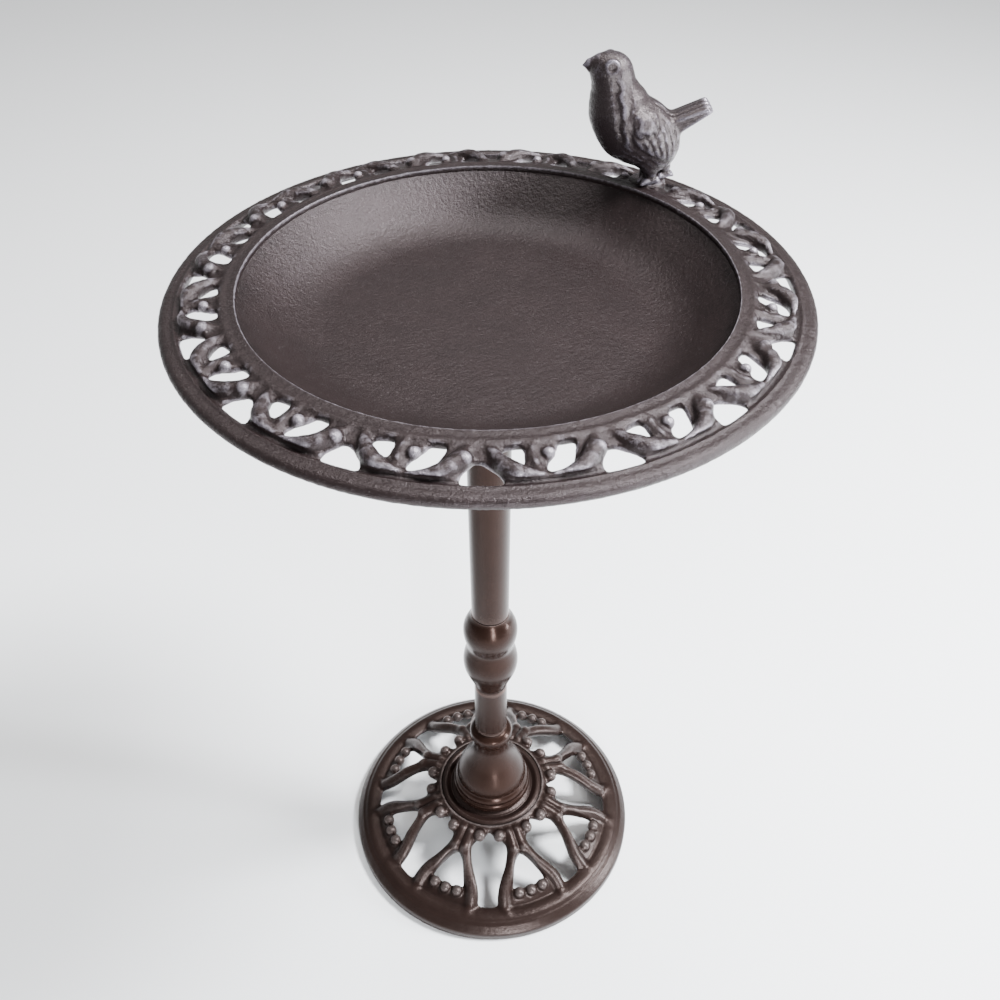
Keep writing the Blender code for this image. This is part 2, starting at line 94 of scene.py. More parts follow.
def carved(a: np.ndarray, b: np.ndarray, blend: float) -> np.ndarray:
    """Take shape b out of shape a, and round the edge that is left."""
    return -merged(-a, b, blend)


def ball(points: np.ndarray, centre: Sequence[float], radii: float | Sequence[float]) -> np.ndarray:
    """Field of an ellipsoid or a round ball.

    Args:
        points: Places, with x, y and z on the last axis.
        centre: Its middle.
        radii: Its three half sizes, or its one radius.

    Returns:
        The distance to its surface, close to exact near it.
    """
    radii = np.asarray(radii)
    offset = points - np.asarray(centre)
    reach = np.linalg.norm(offset / radii, axis=-1)
    steepness = np.linalg.norm(offset / (radii * radii), axis=-1)
    return reach * (reach - 1.0) / np.maximum(steepness, 1e-9)


def rod(points: np.ndarray, path: np.ndarray, radii: Sequence[float]) -> np.ndarray:
    """Field of a rod with round ends that follows a path and changes its radius on the way.

    Args:
        points: Places, with x, y and z on the last axis.
        path: The path's points, one row each.
        radii: The rod's radius at each of them.

    Returns:
        The distance to the rod's surface.
    """
    nearest = np.full(points.shape[:-1], np.inf)
    for start, end, first, last in zip(path, path[1:], radii, radii[1:]):
        along = end - start
        offset = points - start
        share = np.clip(offset @ along / max(float(along @ along), 1e-12), 0.0, 1.0)
        gap = np.linalg.norm(offset - share[..., None] * along, axis=-1)
        nearest = np.minimum(nearest, gap - (first + (last - first) * share))
    return nearest


def plan_distance(x: np.ndarray, y: np.ndarray, outline: Outline) -> np.ndarray:
    """Signed distance in plan to a closed outline, negative inside it.

    Args:
        x: Places across.
        y: Places along.
        outline: The outline's corners.

    Returns:
        The distance at each place.
    """
    corners = np.asarray(outline)
    nearest = np.full(x.shape, np.inf)
    inside = np.zeros(x.shape, bool)
    for (x0, y0), (x1, y1) in zip(corners, np.roll(corners, -1, axis=0)):
        edge_x, edge_y = x1 - x0, y1 - y0
        length = edge_x * edge_x + edge_y * edge_y
        share = np.clip(((x - x0) * edge_x + (y - y0) * edge_y) / length, 0.0, 1.0)
        gap = np.hypot(x - x0 - share * edge_x, y - y0 - share * edge_y)
        nearest = np.minimum(nearest, gap)
        spans = (y0 > y) != (y1 > y)
        crossing = x0 + (y - y0) * edge_x / (edge_y if edge_y else 1e-12)
        inside ^= spans & (x < crossing)
    return np.where(inside, -nearest, nearest)


def softened(outline: Outline, rounds: int = 2) -> Outline:
    """Cut an outline's corners so that it turns smoothly.

    Args:
        outline: A closed outline.
        rounds: How many times each corner is cut.

    Returns:
        The rounder outline.
    """
    points = np.asarray(outline)
    for _ in range(rounds):
        after = np.roll(points, -1, axis=0)
        pairs = np.stack((0.8 * points + 0.2 * after, 0.2 * points + 0.8 * after), axis=1)
        points = pairs.reshape(-1, 2)
    return [tuple(point) for point in points]


def eased(value: np.ndarray, low: float, high: float) -> np.ndarray:
    """Go smoothly from 0 at low to 1 at high."""
    share = np.clip((value - low) / (high - low), 0.0, 1.0)
    return share * share * (3.0 - 2.0 * share)


def spread_out(values: Sequence[float], count: int) -> np.ndarray:
    """Spread a few values evenly over a number of places, going straight from one to the next."""
    return np.interp(np.linspace(0, 1, count), np.linspace(0, 1, len(values)), values)


def tilted(x: np.ndarray, z: np.ndarray, middle: Plan, degrees: float) -> tuple[np.ndarray, np.ndarray]:
    """Measure places along and across a line that passes a middle at an angle."""
    x, z, turn = x - middle[0], z - middle[1], math.radians(degrees)
    return x * math.cos(turn) + z * math.sin(turn), -x * math.sin(turn) + z * math.cos(turn)


def polar(bearing: float, radius: float) -> tuple[float, float]:
    """Place in plan at a bearing in degrees and a radius."""
    turn = math.radians(bearing)
    return radius * math.sin(turn), -radius * math.cos(turn)


def curve_through(points: Sequence[Sequence[float]], steps: int) -> np.ndarray:
    """Run a smooth curve through points.

    Args:
        points: The points, each with any number of values.
        steps: Steps between two neighbours.

    Returns:
        The curve's points, one row each, the first and the last given ones included.
    """
    given = np.asarray(points, float)
    padded = np.vstack((2 * given[0] - given[1], given, 2 * given[-1] - given[-2]))
    curve = []
    for before, start, end, after in zip(padded, padded[1:], padded[2:], padded[3:]):
        for step in range(steps):
            t = step / steps
            curve.append(0.5 * (2 * start + (end - before) * t
                                + (2 * before - 5 * start + 4 * end - after) * t * t
                                + (3 * start - before - 3 * end + after) * t ** 3))
    curve.append(given[-1])
    return np.array(curve)


# --- Meshes ---------------------------------------------------------------------------------------
def net(values: np.ndarray, points: np.ndarray, repeats: bool = False, left_handed: bool = False) \
        -> tuple[np.ndarray, np.ndarray]:
    """Lay a net of four-sided faces over the surface where a field is zero.

    Args:
        values: The field at each grid point.
        points: Where each grid point is.
        repeats: The first axis closes on the next copy, and its last cell is that copy's first.
        left_handed: The grid's three directions are left-handed in space.

    Returns:
        The net's vertices, and its faces as rows of four vertex numbers.
    """
    inside = values < 0.0
    cells = np.array(values.shape) - 1
    sums = np.zeros((*cells, 3))
    counts = np.zeros(cells)
    crossings = []
    for axis in range(3):
        near = tuple(slice(0, -1) if a == axis else slice(None) for a in range(3))
        far = tuple(slice(1, None) if a == axis else slice(None) for a in range(3))
        index = np.argwhere(inside[near] != inside[far])
        at = tuple(index.T)
        low, high = values[near][at], values[far][at]
        share = (low / (low - high))[:, None]
        place = points[near][at] * (1.0 - share) + points[far][at] * share
        corners = []
        for step_u, step_v in ((1, 1), (0, 1), (0, 0), (1, 0)):
            cell = index.copy()
            cell[:, (axis + 1) % 3] -= step_u
            cell[:, (axis + 2) % 3] -= step_v
            real = ((cell >= 0) & (cell < cells)).all(axis=1)
            np.add.at(sums, tuple(cell[real].T), place[real])
            np.add.at(counts, tuple(cell[real].T), 1.0)
            corners.append((cell, real))
        whole = np.logical_and.reduce([real for _, real in corners])
        if repeats and axis == 0:
            whole &= index[:, 0] < cells[0] - 1
        crossings.append((corners, whole, inside[near][at]))
    used = counts > 0
    numbers = np.full(cells, -1)
    numbers[used] = np.arange(int(used.sum()))
    faces = []
    for corners, whole, solid_below in crossings:
        quads = np.stack([numbers[tuple(cell[whole].T)] for cell, _ in corners], axis=1)
        turned_over = solid_below[whole] == left_handed
        quads[turned_over] = quads[turned_over][:, ::-1]
        faces.append(quads)
    return sums[used] / counts[used][:, None], np.vstack(faces)


def linked(name: str, mesh: bpy.types.Mesh) -> bpy.types.Object:
    """Link a mesh, shaded smooth, as an object at the origin.

    Args:
        name: The object's name.
        mesh: Its mesh.

    Returns:
        The object.
    """
    mesh.shade_smooth()
    made = bpy.data.objects.new(name, mesh)
    bpy.context.scene.collection.objects.link(made)
    return made


def plain_object(name: str, vertices: Sequence, faces: Sequence) -> bpy.types.Object:
    """Make an object from vertices, in metres, and faces, as vertex numbers.

    Args:
        name: The object's name.
        vertices: Its vertices.
        faces: Its faces.

    Returns:
        The object.
    """
    mesh = bpy.data.meshes.new(name)
    mesh.from_pydata([tuple(v) for v in vertices], [], [tuple(int(i) for i in f) for f in faces])
    return linked(name, mesh)


def from_bmesh(name: str, bm: bmesh.types.BMesh) -> bpy.types.Object:
    """Make an object from a bmesh, which is freed.

    Args:
        name: The object's name.
        bm: Its shape.

    Returns:
        The object.
    """
    mesh = bpy.data.meshes.new(name)
    bm.to_mesh(mesh)
    bm.free()
    return linked(name, mesh)


def turned(name: str, outline: Sequence[Sequence[float]], segments: int,
           centre: Plan = (0.0, 0.0)) -> bpy.types.Object:
    """Spin a closed outline into a solid.

    Args:
        name: The object's name.
        outline: (radius, height) corners; a corner on the axis makes a pole.
        segments: Faces round the axis.
        centre: Where the axis stands in plan.

    Returns:
        The solid, with its faces pointing out.
    """
    bm = bmesh.new()
    rings = []
    for radius, height in outline:
        if radius < 1e-7:
            rings.append([bm.verts.new((*centre, height))] * segments)
            continue
        turns = (FULL_TURN * i / segments for i in range(segments))
        places = ((centre[0] + radius * math.cos(t), centre[1] + radius * math.sin(t)) for t in turns)
        rings.append([bm.verts.new((*place, height)) for place in places])
    for first, second in zip(rings, rings[1:] + rings[:1]):
        for i in range(segments):
            j = (i + 1) % segments
            corners = list(dict.fromkeys((first[i], first[j], second[j], second[i])))
            if len(corners) > 2:
                bm.faces.new(corners)
    bmesh.ops.recalc_face_normals(bm, faces=bm.faces)
    return from_bmesh(name, bm)


def settle(piece: bpy.types.Object) -> None:
    """Turn a piece's modifiers into its plain mesh.

    Args:
        piece: The piece.
    """
    bpy.context.view_layer.update()
    evaluated = piece.evaluated_get(bpy.context.evaluated_depsgraph_get())
    mesh = bpy.data.meshes.new_from_object(evaluated)
    piece.modifiers.clear()
    old = piece.data
    piece.data = mesh
    bpy.data.meshes.remove(old)
    mesh.name = piece.name


def combine(piece: bpy.types.Object, tool: bpy.types.Object, operation: str) -> None:
    """Join a closed solid to a piece or cut it out, and remove the tool.

    Args:
        piece: The piece that changes.
        tool: The solid that is joined or cut out.
        operation: The Boolean modifier's name for what is done.
    """
    boolean = piece.modifiers.new("joint", "BOOLEAN")
    boolean.operation = operation
    boolean.solver = "MANIFOLD"
    boolean.object = tool
    settle(piece)
    bpy.data.objects.remove(tool, do_unlink=True)


def drill(piece: bpy.types.Object, radius: float, top: float, bottom: float,
          centre: Plan = (0.0, 0.0)) -> None:
    """Cut an upright round hole between two levels.

    Args:
        piece: The piece that is cut.
        radius: The hole's radius.
        top: Where the cut starts.
        bottom: Where it ends.
        centre: Where its axis stands in plan.
    """
    outline = [(0.0, top), (radius, top), (radius, bottom), (0.0, bottom)]
    combine(piece, turned("drill", outline, 32, centre), "DIFFERENCE")


def disc(hole: float, outer: float, top: float, bottom: float, edge: float) -> Outline:
    """Outline of a disc with a hole and eased edges."""
    return [(hole, top), (outer - edge, top), (outer, top - edge),
            (outer, bottom + edge), (outer - edge, bottom), (hole, bottom)]


def at_level(level: float, places: Sequence[Plan]) -> Outline:
    """Outline from radii and rises above a level, both in mm."""
    return [(radius * MM, level + rise * MM) for radius, rise in places]


def middle_of(node: str) -> Plan:
    """Where the middle of a frame node stands in plan."""
    low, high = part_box(node)
    return (low.x + high.x) / 2, (low.y + high.y) / 2


def rows(elements: bpy.types.bpy_prop_collection, name: str, width: int, kind: type) -> np.ndarray:
    """Read one property of a mesh's elements.

    Args:
        elements: The vertices or edges.
        name: The property.
        width: How many numbers it has.
        kind: The numbers' type.

    Returns:
        The numbers, one row for each element.
    """
    values = np.empty(len(elements) * width, kind)
    elements.foreach_get(name, values)
    return values.reshape(-1, width)


def hold_to_size(piece: bpy.types.Object, radius: float) -> None:
    """Grind a casting's foot flat on the floor, and keep it inside its radius.

    Args:
        piece: A mesh object.
        radius: The casting's outer radius.
    """
    place = rows(piece.data.vertices, "co", 3, np.float32)
    reach = np.hypot(place[:, 0], place[:, 1])
    place[:, :2] *= np.minimum(1.0, radius / np.maximum(reach, MM))[:, None]
    place[:, 2] = np.maximum(place[:, 2], 0.0)
    piece.data.vertices.foreach_set("co", place.ravel())
    piece.data.update()


def mark_relief(piece: bpy.types.Object, spread: int) -> None:
    """Store how far each vertex stands proud of its surroundings, for the finishes to read.

    Args:
        piece: A mesh object.
        spread: How many times the reading is averaged with its neighbours.
    """
    mesh = piece.data
    count = len(mesh.vertices)
    place = rows(mesh.vertices, "co", 3, np.float32)
    normal = rows(mesh.vertices, "normal", 3, np.float32)
    first, second = rows(mesh.edges, "vertices", 2, np.int32).T
    neighbours = np.maximum(np.bincount(np.concatenate((first, second)), minlength=count), 1)

    def average(at_first: np.ndarray, at_second: np.ndarray) -> np.ndarray:
        """Mean over each vertex's edges, of values for the edges' two ends."""
        return (np.bincount(first, at_first, count) + np.bincount(second, at_second, count)) / neighbours

    middle = np.stack([average(axis[second], axis[first]) for axis in place.T], axis=1)
    length = np.linalg.norm(place[first] - place[second], axis=1)
    spacing = average(length, length)
    proud = ((place - middle) * normal).sum(axis=1) / np.maximum(spacing, 1e-6) ** 2 * MM
    for _ in range(spread):
        proud = 0.5 * proud + 0.5 * average(proud[second], proud[first])
    attribute = mesh.attributes.new("relief", "FLOAT", "POINT")
    attribute.data.foreach_set("value", np.clip(proud, -1.0, 1.0).astype(np.float32))


# --- Nodes ----------------------------------------------------------------------------------------
class NodeBuilder:
    """Adds and links nodes in one tree."""

    def __init__(self, tree: bpy.types.NodeTree) -> None:
        """Start on a tree."""
        self.tree = tree

    def fill(self, socket: bpy.types.NodeSocket, value: object) -> None:
        """Link an input to a socket, or give it a value.

        Args:
            socket: The input.
            value: A socket, or a value; a colour may leave its alpha out.
        """
        if isinstance(value, bpy.types.NodeSocket):
            self.tree.links.new(value, socket)
        elif socket.type == "RGBA":
            socket.default_value = (*value, 1.0)
        else:
            socket.default_value = value

    def add(self, kind: str, inputs: dict | None = None, **settings: object) -> bpy.types.Node:
        """Add a node.

        Args:
            kind: Blender's name for the node.
            inputs: Values or sockets to link, by input name or number.
            settings: The node's own settings.

        Returns:
            The node.
        """
        node = self.tree.nodes.new(kind)
        for name, value in settings.items():
            setattr(node, name, value)
        for key, value in (inputs or {}).items():
            self.fill(node.inputs[key], value)
        return node

    def math(self, operation: str, first: object, second: object = 0.0) -> bpy.types.NodeSocket:
        """Work out a sum of two values or sockets, and return its socket."""
        return self.add("ShaderNodeMath", {0: first, 1: second}, operation=operation).outputs[0]

    def noise(self, place: bpy.types.NodeSocket, scale: float, detail: float,
              roughness: float = 0.5) -> bpy.types.NodeSocket:
        """Add a noise texture, and return its value's socket."""
        return self.add("ShaderNodeTexNoise", {
            "Vector": place, "Scale": scale, "Detail": detail, "Roughness": roughness}).outputs[0]

    def span(self, value: object, low: float, high: float) -> bpy.types.NodeSocket:
        """Stretch a value to go from 0 at low to 1 at high, and return its socket."""
        return self.add("ShaderNodeMapRange", {"Value": value, "From Min": low, "From Max": high}).outputs[0]

    def mix(self, factor: object, under: object, over: object) -> bpy.types.NodeSocket:
        """Lay one colour over another.

        Args:
            factor: How much of the upper colour shows.
            under: The lower colour, or its socket.
            over: The upper colour, or its socket.

        Returns:
            The mixed colour's socket.
        """
        node = self.add("ShaderNodeMix", {"Factor": factor}, data_type="RGBA")
        ends = [socket for socket in node.inputs if socket.type == "RGBA"]
        self.fill(ends[0], under)
        self.fill(ends[1], over)
        return next(socket for socket in node.outputs if socket.type == "RGBA")


class Pattern:
    """A Geometry Nodes tree with named inputs, and a way to put it on a piece."""

    def __init__(self, name: str, inputs: dict[str, str], output: str) -> None:
        """Start the tree.

        Args:
            name: The tree's name.
            inputs: The kind of each named input.
            output: The result's name.
        """
        self.tree = bpy.data.node_groups.new(name, "GeometryNodeTree")
        self.tree.is_modifier = True
        face = self.tree.interface
        self.sockets = {label: face.new_socket(label, in_out="INPUT", socket_type=f"NodeSocket{kind}")
                        for label, kind in inputs.items()}
        face.new_socket(output, in_out="OUTPUT", socket_type="NodeSocketGeometry")
        self.build = NodeBuilder(self.tree)
        self.given = self.build.add("NodeGroupInput").outputs

    def _repeat(self, places: bpy.types.NodeSocket, motif: bpy.types.NodeSocket,
                **others: object) -> bpy.types.NodeSocket:
        """Put a real copy of a motif at each place.

        Args:
            places: The points' socket.
            motif: The motif's socket.
            others: Any further inputs of the copying node.

        Returns:
            The copies' socket.
        """
        inputs = {"Points": places, "Instance": motif, **others}
        copies = self.build.add("GeometryNodeInstanceOnPoints", inputs).outputs[0]
        return self.build.add("GeometryNodeRealizeInstances", {0: copies}).outputs[0]

    def _end(self, geometry: bpy.types.NodeSocket) -> None:
        """Give the geometry its material, and make it the result."""
        inputs = {"Geometry": geometry, "Material": self.given["Finish"]}
        self.build.add("NodeGroupOutput", {0: self.build.add("GeometryNodeSetMaterial", inputs).outputs[0]})

    def apply(self, piece: bpy.types.Object, values: dict[str, object]) -> None:
        """Put the tree on a piece, and turn the result into the piece's plain mesh.

        Args:
            piece: The object that holds the motif.
            values: The other inputs' values, by name.
        """
        modifier = piece.modifiers.new(self.tree.name, "NODES")
        modifier.node_group = self.tree
        for label, value in values.items():
            modifier[self.sockets[label].identifier] = value
        settle(piece)


@dataclass(frozen=True)
class CastSurface:
    """Unevenness of a cast surface: how deep it goes, how large it is, and which one it is."""

    depth: float
    grain: float
    seed: float


class RoundPattern(Pattern):
    """Sets one motif out round the Z axis, welds the copies, and gives them a cast surface."""

    weld = 0.02 * MM

    def __init__(self) -> None:
        """Build the tree."""
        super().__init__("round_pattern", {
            "Motif": "Geometry", "Count": "Int", "Weld Distance": "Float", "Surface Depth": "Float",
            "Surface Scale": "Float", "Seed": "Float", "Finish": "Material"}, "Ring")
        build, given = self.build, self.given
        points = build.add("GeometryNodePoints", {"Count": given["Count"]}).outputs[0]
        step = build.math("DIVIDE", FULL_TURN, given["Count"])
        turn = build.math("MULTIPLY", build.add("GeometryNodeInputIndex").outputs[0], step)
        euler = build.add("ShaderNodeCombineXYZ", {"Z": turn}).outputs[0]
        rotation = build.add("FunctionNodeEulerToRotation", {0: euler}).outputs[0]
        real = self._repeat(points, given["Motif"], Rotation=rotation)
        welded = build.add("GeometryNodeMergeByDistance", {
            "Geometry": real, "Distance": given["Weld Distance"]}).outputs[0]
        grain = build.add("ShaderNodeTexNoise", {
            "Vector": build.add("GeometryNodeInputPosition").outputs[0], "W": given["Seed"],
            "Scale": given["Surface Scale"], "Detail": 3.0}, noise_dimensions="4D").outputs[0]
        height = build.math("MULTIPLY", build.math("SUBTRACT", grain, 0.5), given["Surface Depth"])
        normal = build.add("GeometryNodeInputNormal").outputs[0]
        offset = build.add("ShaderNodeVectorMath", {0: normal, "Scale": height}, operation="SCALE").outputs[0]
        cast = build.add("GeometryNodeSetPosition", {"Geometry": welded, "Offset": offset}).outputs[0]
        self._end(build.add("GeometryNodeSetShadeSmooth", {"Geometry": cast}).outputs[0])

    def set_out(self, motif: bpy.types.Object, finish: bpy.types.Material, count: int,
                surface: CastSurface) -> None:
        """Turn a motif into the whole ring.

        Args:
            motif: The object that holds one motif; it becomes the ring.
            finish: The ring's material.
            count: Copies round the axis.
            surface: The cast surface's unevenness.
        """
        self.apply(motif, {"Count": count, "Weld Distance": self.weld, "Surface Depth": surface.depth,
                           "Surface Scale": 1.0 / surface.grain, "Seed": surface.seed, "Finish": finish})


class ThreadPattern(Pattern):
    """Stacks one ring-shaped ridge along Z, as the crests of a screw thread."""

    def __init__(self) -> None:
        """Build the tree."""
        super().__init__("thread_pattern", {
            "Ridge": "Geometry", "Count": "Int", "Pitch": "Float", "Finish": "Material"}, "Thread")
        step = self.build.add("ShaderNodeCombineXYZ", {"Z": self.given["Pitch"]}).outputs[0]
        line = self.build.add("GeometryNodeMeshLine", {"Count": self.given["Count"], "Offset": step})
        self._end(self._repeat(line.outputs[0], self.given["Ridge"]))


# --- Finishes -------------------------------------------------------------------------------------
def blank_material(name: str) -> tuple[bpy.types.Material, NodeBuilder, bpy.types.bpy_prop_collection]:
    """Start a node material.

    Args:
        name: The material's name.

    Returns:
        The material, a builder on its tree, and its shader's inputs.
    """
    made = bpy.data.materials.new(name)
    made.use_nodes = True
    return made, NodeBuilder(made.node_tree), made.node_tree.nodes["Principled BSDF"].inputs


@dataclass(frozen=True)
class CastIron:
    """Dark brown lacquered cast iron, with painted shade darkening its hollows, and rubbed brighter on what
    stands proud.
    """

    name: str
    body: Colour
    hollow: Colour
    # painted shade: the dark colour laid into the hollows, where shade would fall
    rubbed: Colour
    roughness: float
    specular: float
    sheen: Colour
    proud_from: float = 0.06
    proud_to: float = 0.24
    rubbed_metal: float = 0.55
    cloud_scale: float = 55.0
    grain: float = 0.9 * MM
    grain_depth: float = 0.50 * MM
    specks: float = 0.0
    speck_scale: float = 420.0
    speck_colour: Colour = (0.42, 0.39, 0.38)

    def material(self) -> bpy.types.Material:
        """Build the finish's node material.

        Returns:
            The material.
        """
        made, build, shader = blank_material(self.name)
        build.fill(shader["Specular IOR Level"], self.specular)
        build.fill(shader["Specular Tint"], self.sheen)
        place = build.add("ShaderNodeTexCoord").outputs["Object"]
        relief = build.add("ShaderNodeAttribute", attribute_name="relief").outputs["Fac"]
        clouds = build.noise(place, self.cloud_scale, 5.0, 0.6)
        grains = build.noise(place, 1.0 / self.grain, 6.0, 0.65)
        pits = build.add("ShaderNodeTexVoronoi", {
            "Vector": place, "Scale": 0.45 / self.grain}, feature="SMOOTH_F1").outputs["Distance"]

        ragged = build.math("ADD", relief, build.math("MULTIPLY", build.math("SUBTRACT", grains, 0.5), 0.16))
        proud = build.span(ragged, self.proud_from, self.proud_to)
        # Painted shade: the hollows are mixed towards the hollow colour, as if shade fell there.
        painted_shade_mask = build.span(relief, -0.02, -0.20)
        colour = build.mix(clouds, tuple(0.65 * c for c in self.body), tuple(1.4 * c for c in self.body))
        colour = build.mix(build.math("MULTIPLY", painted_shade_mask, 0.8), colour, self.hollow)
        colour = build.mix(build.math("MULTIPLY", proud, 0.8), colour, self.rubbed)
        if self.specks > 0.0:
            dots = build.add("ShaderNodeTexVoronoi", {"Vector": place, "Scale": self.speck_scale})
            dot = build.span(dots.outputs["Distance"], 0.13, 0.05)
            chosen = build.math("MULTIPLY", dot, build.math("GREATER_THAN", clouds, 0.5))
            colour = build.mix(build.math("MULTIPLY", chosen, self.specks), colour, self.speck_colour)
        build.fill(shader["Base Color"], colour)
        build.fill(shader["Metallic"], build.math("MULTIPLY", proud, self.rubbed_metal))

        gloss = build.math("ADD", self.roughness - 0.10, build.math("MULTIPLY", grains, 0.22))
        build.fill(shader["Roughness"], build.math("SUBTRACT", gloss, build.math("MULTIPLY", proud, 0.06)))
        surface = build.math("ADD", grains, build.math("MULTIPLY", pits, 0.45))
        build.fill(shader["Normal"], build.add("ShaderNodeBump", {
            "Height": surface, "Strength": 0.75, "Distance": self.grain_depth}).outputs[0])
        return made


@dataclass(frozen=True)
class ZincPlate:
    """Dull zinc plating on steel fasteners."""

    name: str = "zinc_plate"
    colour: Colour = (0.56, 0.55, 0.52)
    roughness: float = 0.38
    spangle_scale: float = 600.0
    scratch_scale: float = 900.0

    def material(self) -> bpy.types.Material:
        """Build the finish's node material.

        Returns:
            The material.
        """
        made, build, shader = blank_material(self.name)
        build.fill(shader["Metallic"], 1.0)
        place = build.add("ShaderNodeTexCoord").outputs["Object"]
        spangle = build.add("ShaderNodeTexVoronoi", {"Vector": place, "Scale": self.spangle_scale})
        tint = build.add("ShaderNodeHueSaturation", {
            "Color": spangle.outputs["Color"], "Saturation": 0.0, "Value": 0.25}).outputs[0]
        build.fill(shader["Base Color"], build.mix(0.2, self.colour, tint))
        scratches = build.noise(place, self.scratch_scale, 4.0)
        gloss = build.math("ADD", self.roughness - 0.12, build.math("MULTIPLY", scratches, 0.24))
        build.fill(shader["Roughness"], gloss)
        build.fill(shader["Normal"], build.add("ShaderNodeBump", {
            "Height": scratches, "Strength": 0.3, "Distance": 0.05 * MM}).outputs[0])
        return made


class Finishes:
    """Every finish on the bird bath, each built once."""

    def __init__(self) -> None:
        """Build the materials."""
        # Each cast iron's second colour is painted shade, laid into its hollows.
        self.by_slot = {
            Slot.DISH: CastIron(
                "dish_iron", (0.0105, 0.0068, 0.0067), (0.0028, 0.0018, 0.0018), (0.30, 0.27, 0.30),
                roughness=0.30, specular=0.28, sheen=(1.0, 0.86, 0.87), proud_from=0.075,
                specks=0.14).material(),
            Slot.BIRD: CastIron(
                "bird_iron", (0.0160, 0.0118, 0.0126), (0.0035, 0.0025, 0.0025), (0.20, 0.18, 0.21),
                roughness=0.28, specular=0.34, sheen=(1.0, 0.86, 0.84), proud_from=0.045,
                grain=0.7 * MM, grain_depth=0.30 * MM).material(),
            Slot.STEM: CastIron(
                "stem_iron", (0.0095, 0.0046, 0.0034), (0.0030, 0.0018, 0.0015), (0.09, 0.065, 0.058),
                roughness=0.22, specular=0.16, sheen=(0.86, 0.55, 0.46), grain_depth=0.05 * MM).material(),
            Slot.BASE: CastIron(
                "base_iron", (0.0105, 0.0060, 0.0050), (0.0025, 0.0015, 0.0013), (0.11, 0.09, 0.085),
                roughness=0.30, specular=0.22, sheen=(0.92, 0.72, 0.66), grain_depth=0.18 * MM).material(),
            Slot.ZINC: ZincPlate().material(),
        }

    def complete(self, piece: bpy.types.Object, slot: Slot, node: str, sharp: float | None = None,
                 spread: int | None = None) -> None:
        """Dress a piece and tie it to the frame.

        Args:
            piece: The piece, whole.
            slot: Its material slot in the record.
            node: The frame's node that it stands for.
            sharp: Angle in degrees past which an edge is sharp, or None where all is smooth.
            spread: How far the relief's reading is averaged, or None where the finish reads none.
        """
        piece.data.materials.clear()
        piece.data.materials.append(self.by_slot[slot])
        piece.data.shade_smooth()
        if sharp is not None:
            piece.data.set_sharp_from_angle(angle=math.radians(sharp))
        if spread is not None:
            mark_relief(piece, spread)
        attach(piece, BODY)
        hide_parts(node)
        LOG.info("%s stands for %s: %d faces", piece.name, node, len(piece.data.polygons))


# --- Sector grid ----------------------------------------------------------------------------------
@dataclass(frozen=True)
class SectorGrid:
    """A grid over one motif's sector of a ring, in turns round the axis, radii and heights."""

    motifs: int
    around: int
    inner: float
    outer: float
    low: float
    high: float
    cell: float

    def points(self) -> np.ndarray:
        """Place every grid point.

        Returns:
            The places, with x, y and z on the last axis.
        """
        pitch = FULL_TURN / self.motifs
        turns = pitch * (np.arange(self.around + 2) / self.around - 0.5)
        radii = np.arange(self.inner, self.outer + self.cell, self.cell)
        heights = np.arange(self.low, self.high + self.cell, self.cell)
        turn, radius, height = np.meshgrid(turns, radii, heights, indexing="ij")
        return np.stack((radius * np.sin(turn), -radius * np.cos(turn), height), axis=-1)

    def motif(self, name: str, shape: Callable[[np.ndarray], np.ndarray]) -> bpy.types.Object:
        """Mesh one motif.

        Args:
            name: The object's name.
            shape: Gives the field at an array of places.

        Returns:
            The motif, open where the next copy meets it.
        """
        points = self.points()
        vertices, faces = net(shape(points), points, repeats=True, left_handed=True)
        return plain_object(name, vertices, faces)


# --- Shared shapes --------------------------------------------------------------------------------
@dataclass(frozen=True)
class Moulding:
    """A rounded ring or groove, in mm: how far in from a radius, how far above a level, and its size."""

    inset: float
    rise: float
    size: float
    stretch: float = 1.0

    def field(self, radius: np.ndarray, z: np.ndarray, outer: float, level: float) -> np.ndarray:
        """Its field, about a radius and a level in metres."""
        across = (radius - (outer - self.inset * MM)) / self.stretch
        return np.hypot(across, z - (level + self.rise * MM)) - self.size * MM


@dataclass(frozen=True)
class Strand:
    """A rounded strand of the dish's openwork.

    Its path is in (bearing, radius, rise), with the last two in mm, and its radii, in mm, are spread
    evenly along it.
    """

    path: tuple[Place, ...]
    radii: tuple[float, ...]


